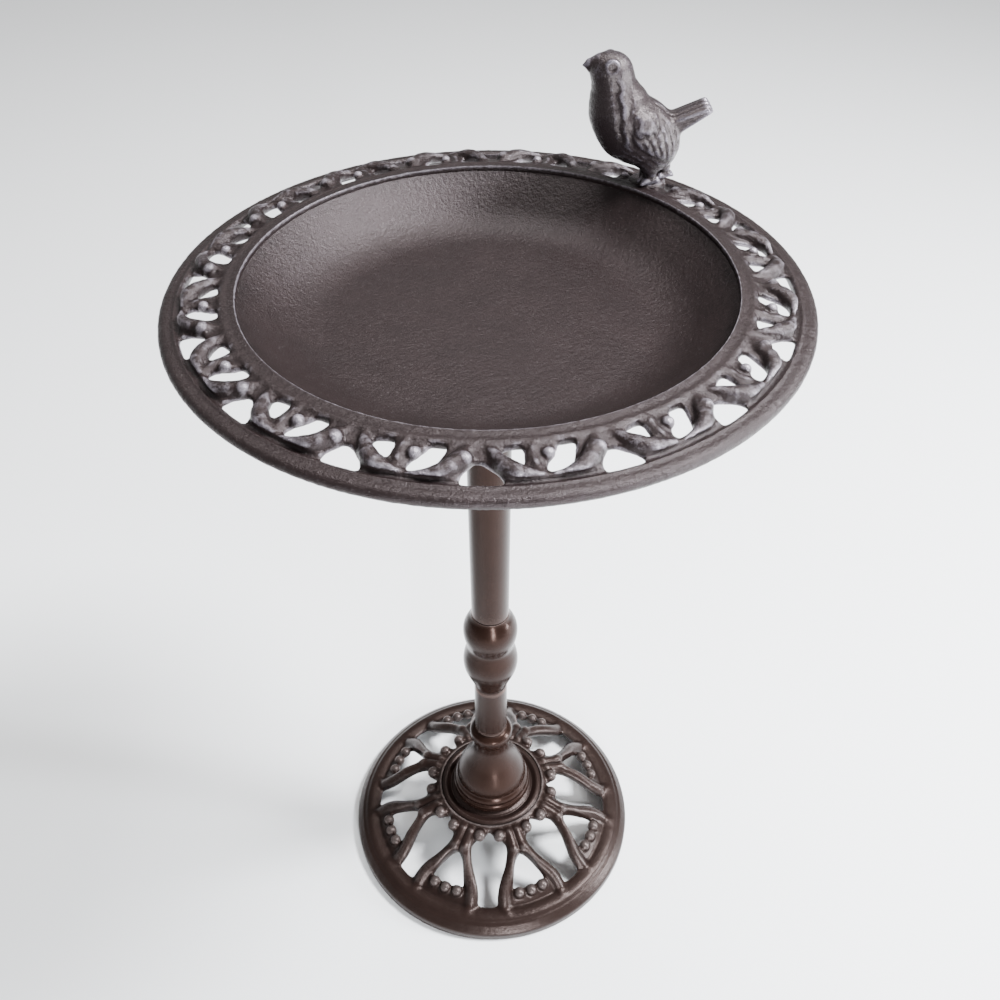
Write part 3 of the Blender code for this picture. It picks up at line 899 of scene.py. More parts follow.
# --- Dish -----------------------------------------------------------------------------------------
@dataclass
class Dish:
    """The dish: a turned bowl, a lip of two beads, an openwork band of scrolls and an outer ring."""

    finishes: Finishes
    pattern: RoundPattern
    motifs: int = 16
    lip_inner: float = 104.6 * MM
    lip_outer: float = 108.7 * MM
    lip_bead: float = 1.35 * MM
    band_inner: float = 110.0 * MM
    band_outer: float = 127.0 * MM
    web: float = 1.35 * MM
    wall: float = 3.2 * MM
    wall_foot: float = 79.5 * MM
    bowl_depth: float = 21.5 * MM
    floor_fillet: float = 13.0 * MM
    boss_radius: float = 14.8 * MM
    pad_radius: float = 8.5 * MM
    pad_edge: float = 0.9 * MM
    rod_hole: float = 4.3 * MM
    rod_hole_depth: float = 10.5 * MM
    screw_hole: float = 2.4 * MM
    segments: int = 160
    cell: float = 0.82 * MM
    surface: CastSurface = CastSurface(0.5 * MM, 2.6 * MM, 3.0)
    ring: Moulding = Moulding(4.1, -3.0, 2.8, 1.42)
    ridge: Moulding = Moulding(7.2, -0.75, 0.95)
    groove: Moulding = Moulding(8.3, 0.9, 1.3)
    leaf: Strand = Strand(((-0.2, 110.4, 0.1), (1.0, 115.0, 0.8), (2.6, 119.6, 1.2), (4.6, 122.8, 1.2),
                           (8.0, 124.6, 0.5)), (1.6, 2.6, 3.4, 3.5, 2.2))
    scroll: Strand = Strand(((8.6, 125.0, 0.0), (11.6, 125.2, 0.8), (14.4, 123.6, 1.4), (16.3, 120.6, 1.5),
                             (17.2, 117.0, 1.2), (18.3, 113.4, 0.6), (19.4, 110.4, 0.2)),
                            (1.6, 2.4, 3.2, 3.4, 2.9, 2.1, 1.5))
    stalk: Strand = Strand(((7.7, 110.4, 0.2), (7.5, 114.6, 0.3), (7.6, 119.0, 0.4), (8.2, 123.6, 0.4)),
                           (1.9, 1.9, 2.0, 2.0))
    knobs: tuple[tuple[Place, float], ...] = (((18.4, 117.2, 2.0), 2.8), ((10.0, 115.8, 1.6), 2.3))
    spandrel: tuple[Plan, ...] = ((-4.6, 127.3), (-4.3, 122.0), (-2.0, 116.2), (1.7, 122.4), (2.5, 127.3))
    small_eye: tuple[Plan, ...] = ((2.0, 112.4), (4.3, 110.9), (6.0, 110.9), (5.8, 119.2), (3.7, 118.2),
                                   (2.4, 115.5))
    teardrop: tuple[Plan, ...] = ((9.2, 121.4), (10.3, 116.0), (11.7, 113.7), (12.3, 110.7), (15.6, 110.7),
                                  (13.9, 119.0), (12.7, 123.5), (10.0, 123.0))

    def __post_init__(self) -> None:
        """Read the dish's place from the frame."""
        low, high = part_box("dish")
        self.radius = high.x
        self.pad_top = high.z
        self.lip_top = high.z - 0.5 * MM
        self.rim = self.lip_top - 4.0 * MM
        self.boss_bottom = low.z

    def band_height(self, radius: np.ndarray) -> np.ndarray:
        """Height of the openwork's middle, which falls from the lip to the ring."""
        share = (radius - self.band_inner) / (self.band_outer - self.band_inner)
        return self.lip_top - 2.1 * MM - np.clip(share, -0.5, 1.2) * 2.9 * MM

    def _place(self, bearing: float, radius: float, rise: float, copy: int) -> Place:
        """Place on one copy of the openwork, from a bearing, and a radius and a rise in mm."""
        x, y = polar(bearing + 360.0 / self.motifs * copy, radius * MM)
        return x, y, float(self.band_height(radius * MM)) + rise * MM

    def _openings(self, x: np.ndarray, y: np.ndarray) -> np.ndarray:
        """Plan distance to the nearest opening.

        Args:
            x: Places across.
            y: Places along.

        Returns:
            The distance, negative inside an opening.
        """
        fields = []
        for copy in NEIGHBOURS:
            for shape in (self.spandrel, self.small_eye, self.teardrop):
                outline = [self._place(*corner, 0.0, copy)[:2] for corner in shape]
                fields.append(plan_distance(x, y, softened(outline)))
        return np.minimum.reduce(fields)

    def _openwork(self, points: np.ndarray, radius: np.ndarray) -> np.ndarray:
        """Field of the pierced band, with its strands and knobs.

        Args:
            points: Places, with x, y and z on the last axis.
            radius: Their distances from the axis.

        Returns:
            The field.
        """
        openings = self._openings(points[:, :, 0, 0], points[:, :, 0, 1])[:, :, None]
        height = np.abs(points[..., 2] - self.band_height(radius))
        web = np.maximum(height - self.web, radius - self.band_outer - 2.0 * MM)
        web = carved(web, openings, 1.6 * MM)
        strands, knobs = [], []
        for copy in NEIGHBOURS:
            for strand in (self.leaf, self.scroll, self.stalk):
                path = np.array([self._place(*place, copy) for place in curve_through(strand.path, 3)])
                strands.append(rod(points, path, spread_out(strand.radii, len(path)) * MM))
            knobs += [ball(points, self._place(*place, copy), size * MM) for place, size in self.knobs]
        raised = reduce(lambda a, b: merged(a, b, 0.6 * MM), strands)
        raised = carved(raised, openings + 0.5 * MM, 0.9 * MM)
        return merged(merged(web, raised, 0.6 * MM), np.minimum.reduce(knobs), 1.5 * MM)

    def rim_shape(self, points: np.ndarray) -> np.ndarray:
        """Field of the lip, the openwork and the outer ring.

        Args:
            points: Places, with x, y and z on the last axis.

        Returns:
            The field.
        """
        x, y, z = np.moveaxis(points, -1, 0)
        radius = np.hypot(x, y)
        ring = merged(self.ring.field(radius, z, self.radius, self.rim),
                      self.ridge.field(radius, z, self.radius, self.rim), 0.7 * MM)
        level = self.lip_top - self.lip_bead
        beads = [Moulding(0.0, rise, self.lip_bead / MM).field(radius, z, middle, level)
                 for middle, rise in ((self.lip_inner, -0.5), (self.lip_outer, 0.0))]
        channel = np.maximum(np.abs(radius - 0.5 * (self.lip_inner + self.lip_outer)) - 2.9 * MM,
                             np.abs(z - (self.lip_top - 2.6 * MM)) - 1.7 * MM)
        lip = merged(np.minimum(*beads), channel, 0.8 * MM)
        whole = merged(merged(self._openwork(points, radius), ring, 0.9 * MM), lip, 1.2 * MM)
        whole = carved(whole, self.groove.field(radius, z, self.radius, self.rim), 0.6 * MM)
        return np.maximum(whole, self.lip_inner - 1.4 * MM - radius)

    def bowl_outline(self) -> Outline:
        """Closed outline of the bowl, from its middle up its inside, over the lip and back below.

        Returns:
            The outline.
        """
        mouth = np.array((self.lip_inner - 0.9 * MM, self.lip_top - 1.6 * MM))
        floor = self.lip_top - self.bowl_depth
        foot = np.array((self.wall_foot, floor))
        slope = (mouth - foot) / np.linalg.norm(mouth - foot)
        below = floor - self.wall
        outer_foot = np.array((self.wall_foot + self.wall * (1.0 - slope[0]) / slope[1], below))
        top = self.lip_top - 3.4 * MM
        outer_mouth = outer_foot + slope * (top - below) / slope[1]
        flat = [(share * self.wall_foot, floor) for share in (0.0, 0.25, 0.55)]
        over = [(self.lip_inner + 0.4 * MM, self.lip_top - 1.0 * MM), (self.lip_inner + 1.6 * MM, top)]
        boss = [(self.boss_radius + 2.2 * MM, below), (self.boss_radius + 0.6 * MM, below - 0.6 * MM),
                (self.boss_radius, below - 2.2 * MM), (self.boss_radius, self.boss_bottom + 1.0 * MM),
                (self.boss_radius - 1.0 * MM, self.boss_bottom), (0.0, self.boss_bottom)]
        return (flat + self._bend(mouth, foot)[::-1] + over + self._bend(outer_mouth, outer_foot)
                + [(0.5 * self.wall_foot, below)] + boss)

    def _bend(self, mouth: np.ndarray, foot: np.ndarray) -> Outline:
        """Points down a wall and round the fillet at its foot.

        Args:
            mouth: The wall's upper end.
            foot: Where the wall would meet the level floor.

        Returns:
            The points.
        """
        upper = foot + (mouth - foot) / np.linalg.norm(mouth - foot) * self.floor_fillet
        lower = np.array((foot[0] - self.floor_fillet, foot[1]))
        wall = [mouth + (upper - mouth) * share for share in (0.0, 0.33, 0.66)]
        steps = 10
        turn = [(1 - share) ** 2 * upper + 2 * share * (1 - share) * foot + share ** 2 * lower
                for share in (i / steps for i in range(steps + 1))]
        return [tuple(point) for point in wall + turn]

    def build(self) -> None:
        """Make the whole casting."""
        grid = SectorGrid(self.motifs, 51, self.lip_inner - 2.6 * MM, self.radius + 1.2 * MM,
                          self.rim - 8.0 * MM, self.lip_top + 3.2 * MM, self.cell)
        dish = grid.motif("dish_casting", self.rim_shape)
        self.pattern.set_out(dish, self.finishes.by_slot[Slot.DISH], self.motifs, self.surface)
        hold_to_size(dish, self.radius)
        combine(dish, turned("bowl", self.bowl_outline(), self.segments), "UNION")
        at, edge = middle_of("bird_washer"), self.pad_edge
        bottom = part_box("bird_washer")[1].z + 0.3 * MM
        combine(dish, turned("pad", disc(0.0, self.pad_radius, self.pad_top, bottom, edge), 48, at), "UNION")
        drill(dish, self.rod_hole, self.boss_bottom + self.rod_hole_depth, self.boss_bottom - 1.0 * MM)
        drill(dish, self.screw_hole, self.pad_top + edge, bottom - edge, at)
        self.finishes.complete(dish, Slot.DISH, "dish", sharp=50, spread=3)


# --- Base -----------------------------------------------------------------------------------------
@dataclass
class Base:
    """The base: a hub, a domed openwork of lancets and arched eyes, and a broad rounded ring.

    Outlines and paths on the dome are in mm: outward, sideways of a motif's middle line, and up.
    """

    finishes: Finishes
    pattern: RoundPattern
    motifs: int = 8
    start: float = -2.3
    hub: float = 34.0 * MM
    dome_outer: float = 75.0 * MM
    wall: float = 4.2 * MM
    foot: float = 5.5 * MM
    ring_top: float = 12.0 * MM
    lean: float = 0.88
    rib_radius: float = 3.6 * MM
    bead_radius: float = 3.4 * MM
    rod_hole: float = 4.5 * MM
    segments: int = 128
    cell: float = 0.92 * MM
    surface: CastSurface = CastSurface(0.28 * MM, 4.0 * MM, 8.0)
    groove: Moulding = Moulding(5.4, 0.25, 0.75)
    lancet: tuple[Plan, ...] = ((35.6, 0.0), (38.0, 2.4), (40.6, 8.0), (43.5, 11.2), (48.0, 11.6),
                                (55.3, 10.4), (65.2, 6.9), (69.0, 6.2), (74.0, 6.4))
    eye: tuple[Plan, ...] = ((50.0, 1.4), (52.0, 4.0), (55.5, 6.4), (60.2, 8.6), (65.5, 10.4), (67.2, 9.4))
    rib: tuple[Place, ...] = ((36.0, 12.0, -1.6), (42.0, 14.4, -1.1), (48.0, 15.0, -1.0), (55.3, 13.7, -1.0),
                              (64.0, 10.5, -1.1), (71.0, 10.2, -1.6), (77.0, 12.2, -3.4))
    knobs: tuple[tuple[float, ...], ...] = ((38.6, 6.2, -0.2, 3.7), (45.6, 15.6, 0.2, 3.2))

    def __post_init__(self) -> None:
        """Read the base's place from the frame."""
        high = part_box("base")[1]
        self.radius, self.top = high.x, high.z

    def dome(self, radius: np.ndarray) -> np.ndarray:
        """Height of the dome's and the ring's upper face.

        Args:
            radius: Distances from the axis.

        Returns:
            The heights.
        """
        share = np.clip((radius - self.hub) / (self.dome_outer - self.hub), -0.2, 1.0)
        dome = self.top - (self.top - self.ring_top) * (0.55 * share + 0.45 * share * share)
        over = np.clip((radius - self.dome_outer) / (self.radius - self.dome_outer), 0.0, 1.2)
        return dome + 0.7 * MM * np.sin(np.pi * np.clip(over * 1.2, 0.0, 1.0)) - 6.2 * MM * over ** 3.2

    def _plan(self, reach: float, across: float, copy: float) -> np.ndarray:
        """Place in plan, from mm outward and sideways of one copy's middle line."""
        turn = math.radians(self.start + 360.0 / self.motifs * copy)
        return (np.array((math.sin(turn), -math.cos(turn))) * reach
                + np.array((math.cos(turn), math.sin(turn))) * across) * MM

    def _place(self, reach: float, across: float, rise: float, copy: float) -> Place:
        """Place on the dome, from mm outward and sideways of one copy's middle line, and up."""
        plan = self._plan(reach, across, copy)
        return (*plan, float(self.dome(np.hypot(*plan))) + rise * MM)

    def _openings(self, x: np.ndarray, y: np.ndarray) -> np.ndarray:
        """Plan distance to the nearest opening.

        Args:
            x: Places across.
            y: Places along.

        Returns:
            The distance, negative inside an opening.
        """
        fields = []
        for half, copies in ((self.lancet, NEIGHBOURS), (self.eye, BETWEEN)):
            for copy in copies:
                outline = [self._plan(reach, -across, copy) for reach, across in half]
                outline += [self._plan(reach, across, copy) for reach, across in half[::-1] if across > 0.0]
                fields.append(plan_distance(x, y, softened(outline)))
        return np.minimum.reduce(fields)

    def _raised(self, points: np.ndarray) -> tuple[np.ndarray, np.ndarray]:
        """Fields of what stands on the dome.

        Args:
            points: Places, with x, y and z on the last axis.

        Returns:
            The ribs' field, and that of the knobs and beads.
        """
        ribs, lumps = [], []
        for copy in NEIGHBOURS:
            for side in (-1, 1):
                path = np.array([self._place(reach, across * side, rise, copy)
                                 for reach, across, rise in curve_through(self.rib, 3)])
                ribs.append(rod(points, path, np.full(len(path), self.rib_radius)))
                lumps += [ball(points, self._place(reach, across * side, rise, copy), size * MM)
                          for reach, across, rise, size in self.knobs]
        for copy in BETWEEN:
            for across in (-7.6, 0.0, 7.6):
                reach = 69.4 - 0.012 * across * across
                lumps.append(ball(points, self._place(reach, across, -0.3, copy), self.bead_radius))
        return np.minimum.reduce(ribs), np.minimum.reduce(lumps)

    def openwork_shape(self, points: np.ndarray) -> np.ndarray:
        """Field of the dome, its ribs, knobs and beads, and the ring.

        Args:
            points: Places, with x, y and z on the last axis.

        Returns:
            The field.
        """
        x, y, z = np.moveaxis(points, -1, 0)
        radius = np.hypot(x, y)
        upper = self.dome(radius)
        hollow = np.where(radius < self.radius - self.foot, (upper - self.wall - z) * self.lean, -z)
        shell = np.maximum.reduce([(z - upper) * self.lean, hollow, -z, radius - self.radius])
        openings = self._openings(x[:, :, 0], y[:, :, 0])[:, :, None]
        ribs, lumps = self._raised(points)
        shell = carved(shell, openings, 1.8 * MM)
        ribs = carved(ribs, openings + 0.4 * MM, 1.0 * MM)
        whole = merged(merged(shell, ribs, 1.8 * MM), lumps, 1.5 * MM)
        whole = carved(whole, self.groove.field(radius, z - upper, self.radius, 0.0), 0.5 * MM)
        return np.maximum(np.maximum(whole, -z), self.hub - 1.5 * MM - radius)

    def hub_outline(self) -> Outline:
        """Closed outline of the hub's disc, with the ring that the bell stands inside.

        Returns:
            The outline.
        """
        under = self.top - self.wall
        edge = self.hub + 0.6 * MM
        crown = at_level(self.top, [(25.2, -0.1), (26.2, -0.9), (27.4, -0.3), (29.2, 0.9), (31.2, 0.7),
                                    (32.8, -0.6)]) + [(edge, self.top - 1.6 * MM)]
        return [(self.rod_hole, self.top), (18.0 * MM, self.top), *curve_through(crown, 3),
                (edge, under + 0.4 * MM), (20.0 * MM, under), (self.rod_hole, under)]

    def build(self) -> None:
        """Make the whole casting."""
        grid = SectorGrid(self.motifs, 66, self.hub - 3.0 * MM, self.radius + self.cell,
                          -self.cell, self.top + 5.0 * MM, self.cell)
        base = grid.motif("base_casting", self.openwork_shape)
        self.pattern.set_out(base, self.finishes.by_slot[Slot.BASE], self.motifs, self.surface)
        hold_to_size(base, self.radius)
        combine(base, turned("hub", self.hub_outline(), self.segments), "UNION")
        self.finishes.complete(base, Slot.BASE, "base", sharp=55, spread=3)


# --- Stem -----------------------------------------------------------------------------------------
@dataclass
class Stem:
    """The stem: two tubes, the double-bulged knuckle between them, and the bell they stand on."""

    finishes: Finishes
    segments: int = 96
    wall: float = 2.0 * MM
    edge: float = 0.5 * MM
    spigot: float = 6.0 * MM
    rod_hole: float = 4.5 * MM
    knuckle: tuple[Plan, ...] = (
        (10.4, 0.0), (11.2, -2.0), (13.0, -5.2), (14.7, -9.5), (15.2, -14.0), (14.7, -18.6), (13.6, -23.0),
        (13.3, -26.0), (14.0, -29.5), (15.2, -34.5), (15.6, -39.5), (14.9, -44.8), (13.0, -50.5),
        (10.9, -56.0))
    knuckle_foot: tuple[Plan, ...] = ((9.9, 2.2), (9.7, 0.0))
    bell: tuple[Plan, ...] = (
        (9.8, 0.0), (11.0, -0.8), (12.6, -2.6), (13.0, -5.0), (12.6, -8.0), (11.3, -10.6), (10.9, -13.0),
        (11.1, -17.5), (12.3, -23.0), (14.6, -29.0), (17.9, -35.5), (20.5, -41.0), (21.7, -45.5),
        (21.7, -48.2), (22.9, -50.2), (23.6, -52.0), (23.5, -53.8), (24.3, -55.2), (24.5, -57.4))
    bell_foot: tuple[Plan, ...] = ((23.9, 1.2), (22.9, 0.0))

    def _tube(self, name: str, node: str, lower: float, upper: float) -> None:
        """Make a plain tube whose ends have eased edges.

        Args:
            name: The piece's name.
            node: The frame's node, which gives its two levels.
            lower: Outer radius at its lower end.
            upper: Outer radius at its upper end.
        """
        low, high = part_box(node)
        bore = min(lower, upper) - self.wall
        steps, drop = 12, low.z - high.z + 2 * self.edge
        side = [(upper + (lower - upper) * i / steps, high.z - self.edge + drop * i / steps)
                for i in range(steps + 1)]
        outline = [(bore, high.z), (upper - self.edge, high.z), *side,
                   (lower - self.edge, low.z), (bore, low.z)]
        self.finishes.complete(turned(name, outline, self.segments), Slot.STEM, node, sharp=40, spread=1)

    def _casting(self, name: str, node: str, outside: Sequence[Plan], above: float, below: float) -> None:
        """Make a turned casting with a bore for the rod.

        Args:
            name: The piece's name.
            node: The frame's node that it stands for.
            outside: Points of its outer outline, from the upper shoulder to the lower one.
            above: Radius of the spigot above, 0 for none.
            below: Radius of the spigot below, 0 for none.
        """
        top, bottom = outside[0][1], outside[-1][1]
        highest = top + (self.spigot if above else 0.0)
        lowest = bottom - (self.spigot if below else 0.0)
        outline = [(self.rod_hole, highest)] + ([(above, highest), (above, top)] if above else [])
        outline += list(curve_through(outside, 5)) + ([(below, bottom), (below, lowest)] if below else [])
        outline.append((self.rod_hole, lowest))
        self.finishes.complete(turned(name, outline, self.segments), Slot.STEM, node, sharp=40, spread=1)

    def build(self) -> None:
        """Make the stem's four pieces."""
        self._tube("upper_tube", "upper_stem", 10.3 * MM, 11.2 * MM)
        self._tube("lower_tube", "lower_stem", 9.6 * MM, 9.6 * MM)
        low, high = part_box("knuckle_collar")
        outside = at_level(high.z - self.spigot, self.knuckle)
        outside += at_level(low.z + self.spigot, self.knuckle_foot)
        self._casting("knuckle_casting", "knuckle_collar", outside, 8.0 * MM, 7.3 * MM)
        low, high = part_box("stem_foot")
        outside = at_level(high.z - self.spigot, self.bell) + at_level(low.z, self.bell_foot)
        self._casting("bell_casting", "stem_foot", outside, 7.3 * MM, 0.0)


# --- Bird -----------------------------------------------------------------------------------------
@dataclass
class Bird:
    """A plump perching songbird, cast in the round with its feathers in relief. It faces -X."""

    finishes: Finishes
    cell: float = 0.62
    screw_hole: float = 2.3 * MM
    quill: float = 3.3
    scale: float = 4.2
    tail_feather: float = 3.1
    eye: Place = (-21.0, 7.2, 54.9)
    back: tuple[Place, ...] = ((-19.8, 0.0, 49.6), (-18.6, 0.0, 42.0), (-15.6, 0.0, 33.0),
                               (-10.5, 0.0, 25.5), (-3.5, 0.0, 21.0), (1.2, 0.0, 20.0))
    girth: tuple[float, ...] = (9.2, 10.6, 14.2, 15.4, 13.4, 10.8)
    origin: Vector = field(init=False)

    def __post_init__(self) -> None:
        """Read the bird's place from the frame."""
        self.origin = Vector((*middle_of("bird_washer"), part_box("dish")[1].z))

    def feathers(self, x: np.ndarray, y: np.ndarray, z: np.ndarray) -> np.ndarray:
        """How far the plumage stands proud of the smooth body, in mm.

        Args:
            x: Places along the bird.
            y: Places across it.
            z: Heights.

        Returns:
            The relief.
        """
        side = eased(np.abs(y), 2.0, 7.0)
        drift = (np.sin(0.61 * z + 1.3) * np.sin(0.47 * x + 0.4)
                 + 0.6 * np.sin(1.13 * x + 0.83 * z) * np.sin(0.9 * y))
        along, across = tilted(x, z, (-5.5, 32.0), -40.0)
        span = np.hypot((along - 8.5) / 16.0, (across + 0.8) / 8.4)
        wing = eased(span, 1.10, 0.84) * side
        bent = across + 0.022 * along * along + 0.35 * drift
        quill, scale = self.quill, self.scale
        quills = 0.55 * (np.abs(np.sin(np.pi * bent / quill)) ** 0.7 - 0.6) * eased(along, 2.0, 8.0)
        chevron = along + 0.5 * np.abs(bent % quill - quill / 2)
        scales = 0.09 * np.sin(2.0 * np.pi * chevron / scale) * eased(along, 2.0, 6.0)
        shoulder = np.hypot(along - 0.5, across - 0.3) + 0.6 * drift
        coverts = 1.7 * eased(shoulder, 7.0, 2.0) - 0.25 * eased(np.abs(shoulder - 6.6), 1.4, 0.0)
        relief = wing * (0.8 + quills + scales + coverts)

        neck_line = -15.0 - 0.16 * (z - 38.0) + 0.4 * drift
        neck = eased(np.abs(x - neck_line), 5.5, 2.5) * eased(z, 18.0, 27.0) * eased(z, 54.0, 46.0) * side
        strands = np.cos(2.0 * np.pi * ((x - neck_line) / 6.0 + 0.05 * np.sin(z / 1.1)))
        relief += 0.45 * neck * strands * (1.0 - wing)
        flank = eased(z, 27.0, 15.0) * (1.0 - wing) * eased(x, -24.0, -10.0) * side
        relief += 0.16 * flank * np.sin(2.0 * np.pi * (x * 0.6 + z + 0.8 * drift) / 3.4)
        rump = eased(x, -4.0, 2.0) * eased(z, 27.0, 31.0) * eased(np.abs(y), 8.0, 3.0)
        relief += 0.2 * rump * np.sin(2.0 * np.pi * (y + 0.4 * drift) / 3.2)
        relief += 0.08 * np.sin(2.3 * x + 1.1 * drift) * np.sin(2.6 * z - 0.7) * np.sin(2.1 * y + 0.5)
        return relief

    def shape(self, points: np.ndarray) -> np.ndarray:
        """Field of the bird, in mm from its foot.

        Args:
            points: Places in mm, with x, y and z on the last axis.

        Returns:
            The field.
        """
        x, y, z = np.moveaxis(points, -1, 0)
        line = curve_through(self.back, 3)
        body = rod(points, line, spread_out(self.girth, len(line)))
        for centre, radii, blend in (((-2.0, 0.0, 27.0), (10.5, 10.5, 9.5), 4.0),
                                     ((4.6, 0.0, 18.5), (8.0, 9.0, 9.0), 4.0),
                                     ((-22.6, 0.0, 51.6), (7.8, 7.4, 6.9), 2.5),
                                     ((2.0, 0.0, 13.5), (9.2, 9.6, 8.8), 4.0)):
            body = merged(body, ball(points, centre, radii), blend)
        body -= self.feathers(x, y, z)
        body = merged(body, self._tail(x, y, z), 3.0)
        body = self._face(body, points)
        stub = np.maximum(np.hypot(x, y) - 4.0, np.abs(z - 5.0) - 5.0)
        body = merged(body, merged(self._legs(points), stub, 1.0), 1.6)
        return np.maximum(body, 0.3 - z)

    def _tail(self, x: np.ndarray, y: np.ndarray, z: np.ndarray) -> np.ndarray:
        """Field of the tail, in mm.

        Args:
            x: Places along the bird.
            y: Places across it.
            z: Heights.

        Returns:
            The field.
        """
        along, up = tilted(x, z, (10.0, 27.2), 28.5)
        jag = 17.6 - 1.5 * np.abs(((np.abs(y) / self.tail_feather) % 1.0) * 2.0 - 1.0) - 0.20 * up
        depth = 4.7 - 0.11 * along - 0.03 * y * y
        grooves = 0.35 * (1.0 - np.abs(np.sin(np.pi * y / self.tail_feather)) ** 0.5)
        tail = np.maximum(np.abs(up) - depth + grooves, np.abs(y) - (6.6 + 0.05 * along))
        return carved(tail, -(np.maximum(along - jag, -9.0 - along)), 1.0) * 0.85

    def _face(self, body: np.ndarray, points: np.ndarray) -> np.ndarray:
        """Add the bill and the two eyes.

        Args:
            body: The bird's field so far, in mm.
            points: Places in mm, with x, y and z on the last axis.

        Returns:
            The field with them.
        """
        upper = np.array([(-26.5, 0.0, 54.4), (-30.4, 0.0, 54.1), (-33.3, 0.0, 53.3)])
        lower = np.array([(-26.5, 0.0, 51.6), (-30.0, 0.0, 52.2), (-32.4, 0.0, 52.7)])
        bill = np.minimum(rod(points, upper, (3.9, 2.2, 0.6)), rod(points, lower, (3.6, 1.9, 0.6)))
        body = merged(body, bill, 0.9)
        eye = np.stack((points[..., 0], np.abs(points[..., 1]), points[..., 2]), axis=-1) - np.array(self.eye)
        rim = np.hypot(np.hypot(eye[..., 0], eye[..., 2]) - 2.3, eye[..., 1] + 0.55) - 0.7
        body = merged(body, rim, 1.6)
        body = carved(body, ball(eye, (0.0, 0.9, 0.0), (1.7, 1.0, 1.7)), 0.5)
        return merged(body, ball(eye, (0.0, -0.6, 0.0), (1.4, 1.2, 1.4)), 0.5)

    def _legs(self, points: np.ndarray) -> np.ndarray:
        """Field of the legs and toes, in mm.

        Args:
            points: Places in mm, with x, y and z on the last axis.

        Returns:
            The field.
        """
        legs = np.full(points.shape[:-1], np.inf)
        for foot_x, foot_y, thigh_x, thigh_y in ((0.8, -5.0, -2.0, -4.6), (8.0, 1.4, 3.0, 3.4)):
            thigh = rod(points, np.array([(thigh_x, thigh_y, 12.0), (foot_x, foot_y, 5.6)]), (5.4, 2.7))
            shank = rod(points, np.array([(foot_x, foot_y, 6.0), (foot_x, foot_y, 1.8)]), (2.2, 1.7))
            legs = np.minimum(legs, merged(thigh, shank, 1.0))
            for reach_x, reach_y in ((-5.6, 0.3), (-4.4, -3.4), (-4.2, 3.4), (4.0, 0.4)):
                toe = np.array([(foot_x, foot_y, 1.9), (foot_x + 0.6 * reach_x, foot_y + 0.6 * reach_y, 1.9),
                                (foot_x + reach_x, foot_y + reach_y, 0.9)])
                legs = merged(legs, rod(points, toe, (1.9, 1.7, 0.9)), 0.6)
        return legs

    def build(self) -> None:
        """Make the bird."""
        sides = ((-36.0, 31.0), (-18.0, 18.0), (-0.6, 61.0))
        axes = [np.arange(low, high, self.cell) for low, high in sides]
        points = np.stack(np.meshgrid(*axes, indexing="ij"), axis=-1)
        vertices, faces = net(self.shape(points), points)
        bird = plain_object("bird_casting", vertices * MM + np.array(self.origin), faces)
        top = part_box("bird_screw")[1].z + 0.4 * MM
        drill(bird, self.screw_hole, top, self.origin.z - 2.0 * MM, self.origin[:2])
        self.finishes.complete(bird, Slot.BIRD, "bird", spread=5)


# --- Fasteners ------------------------------------------------------------------------------------
@dataclass(frozen=True)
class Thread:
    """A screw thread's outer radius and pitch."""

    radius: float
    pitch: float

    @property
    def core(self) -> float:
        """Radius between the crests."""
        return self.radius - 0.6 * self.pitch


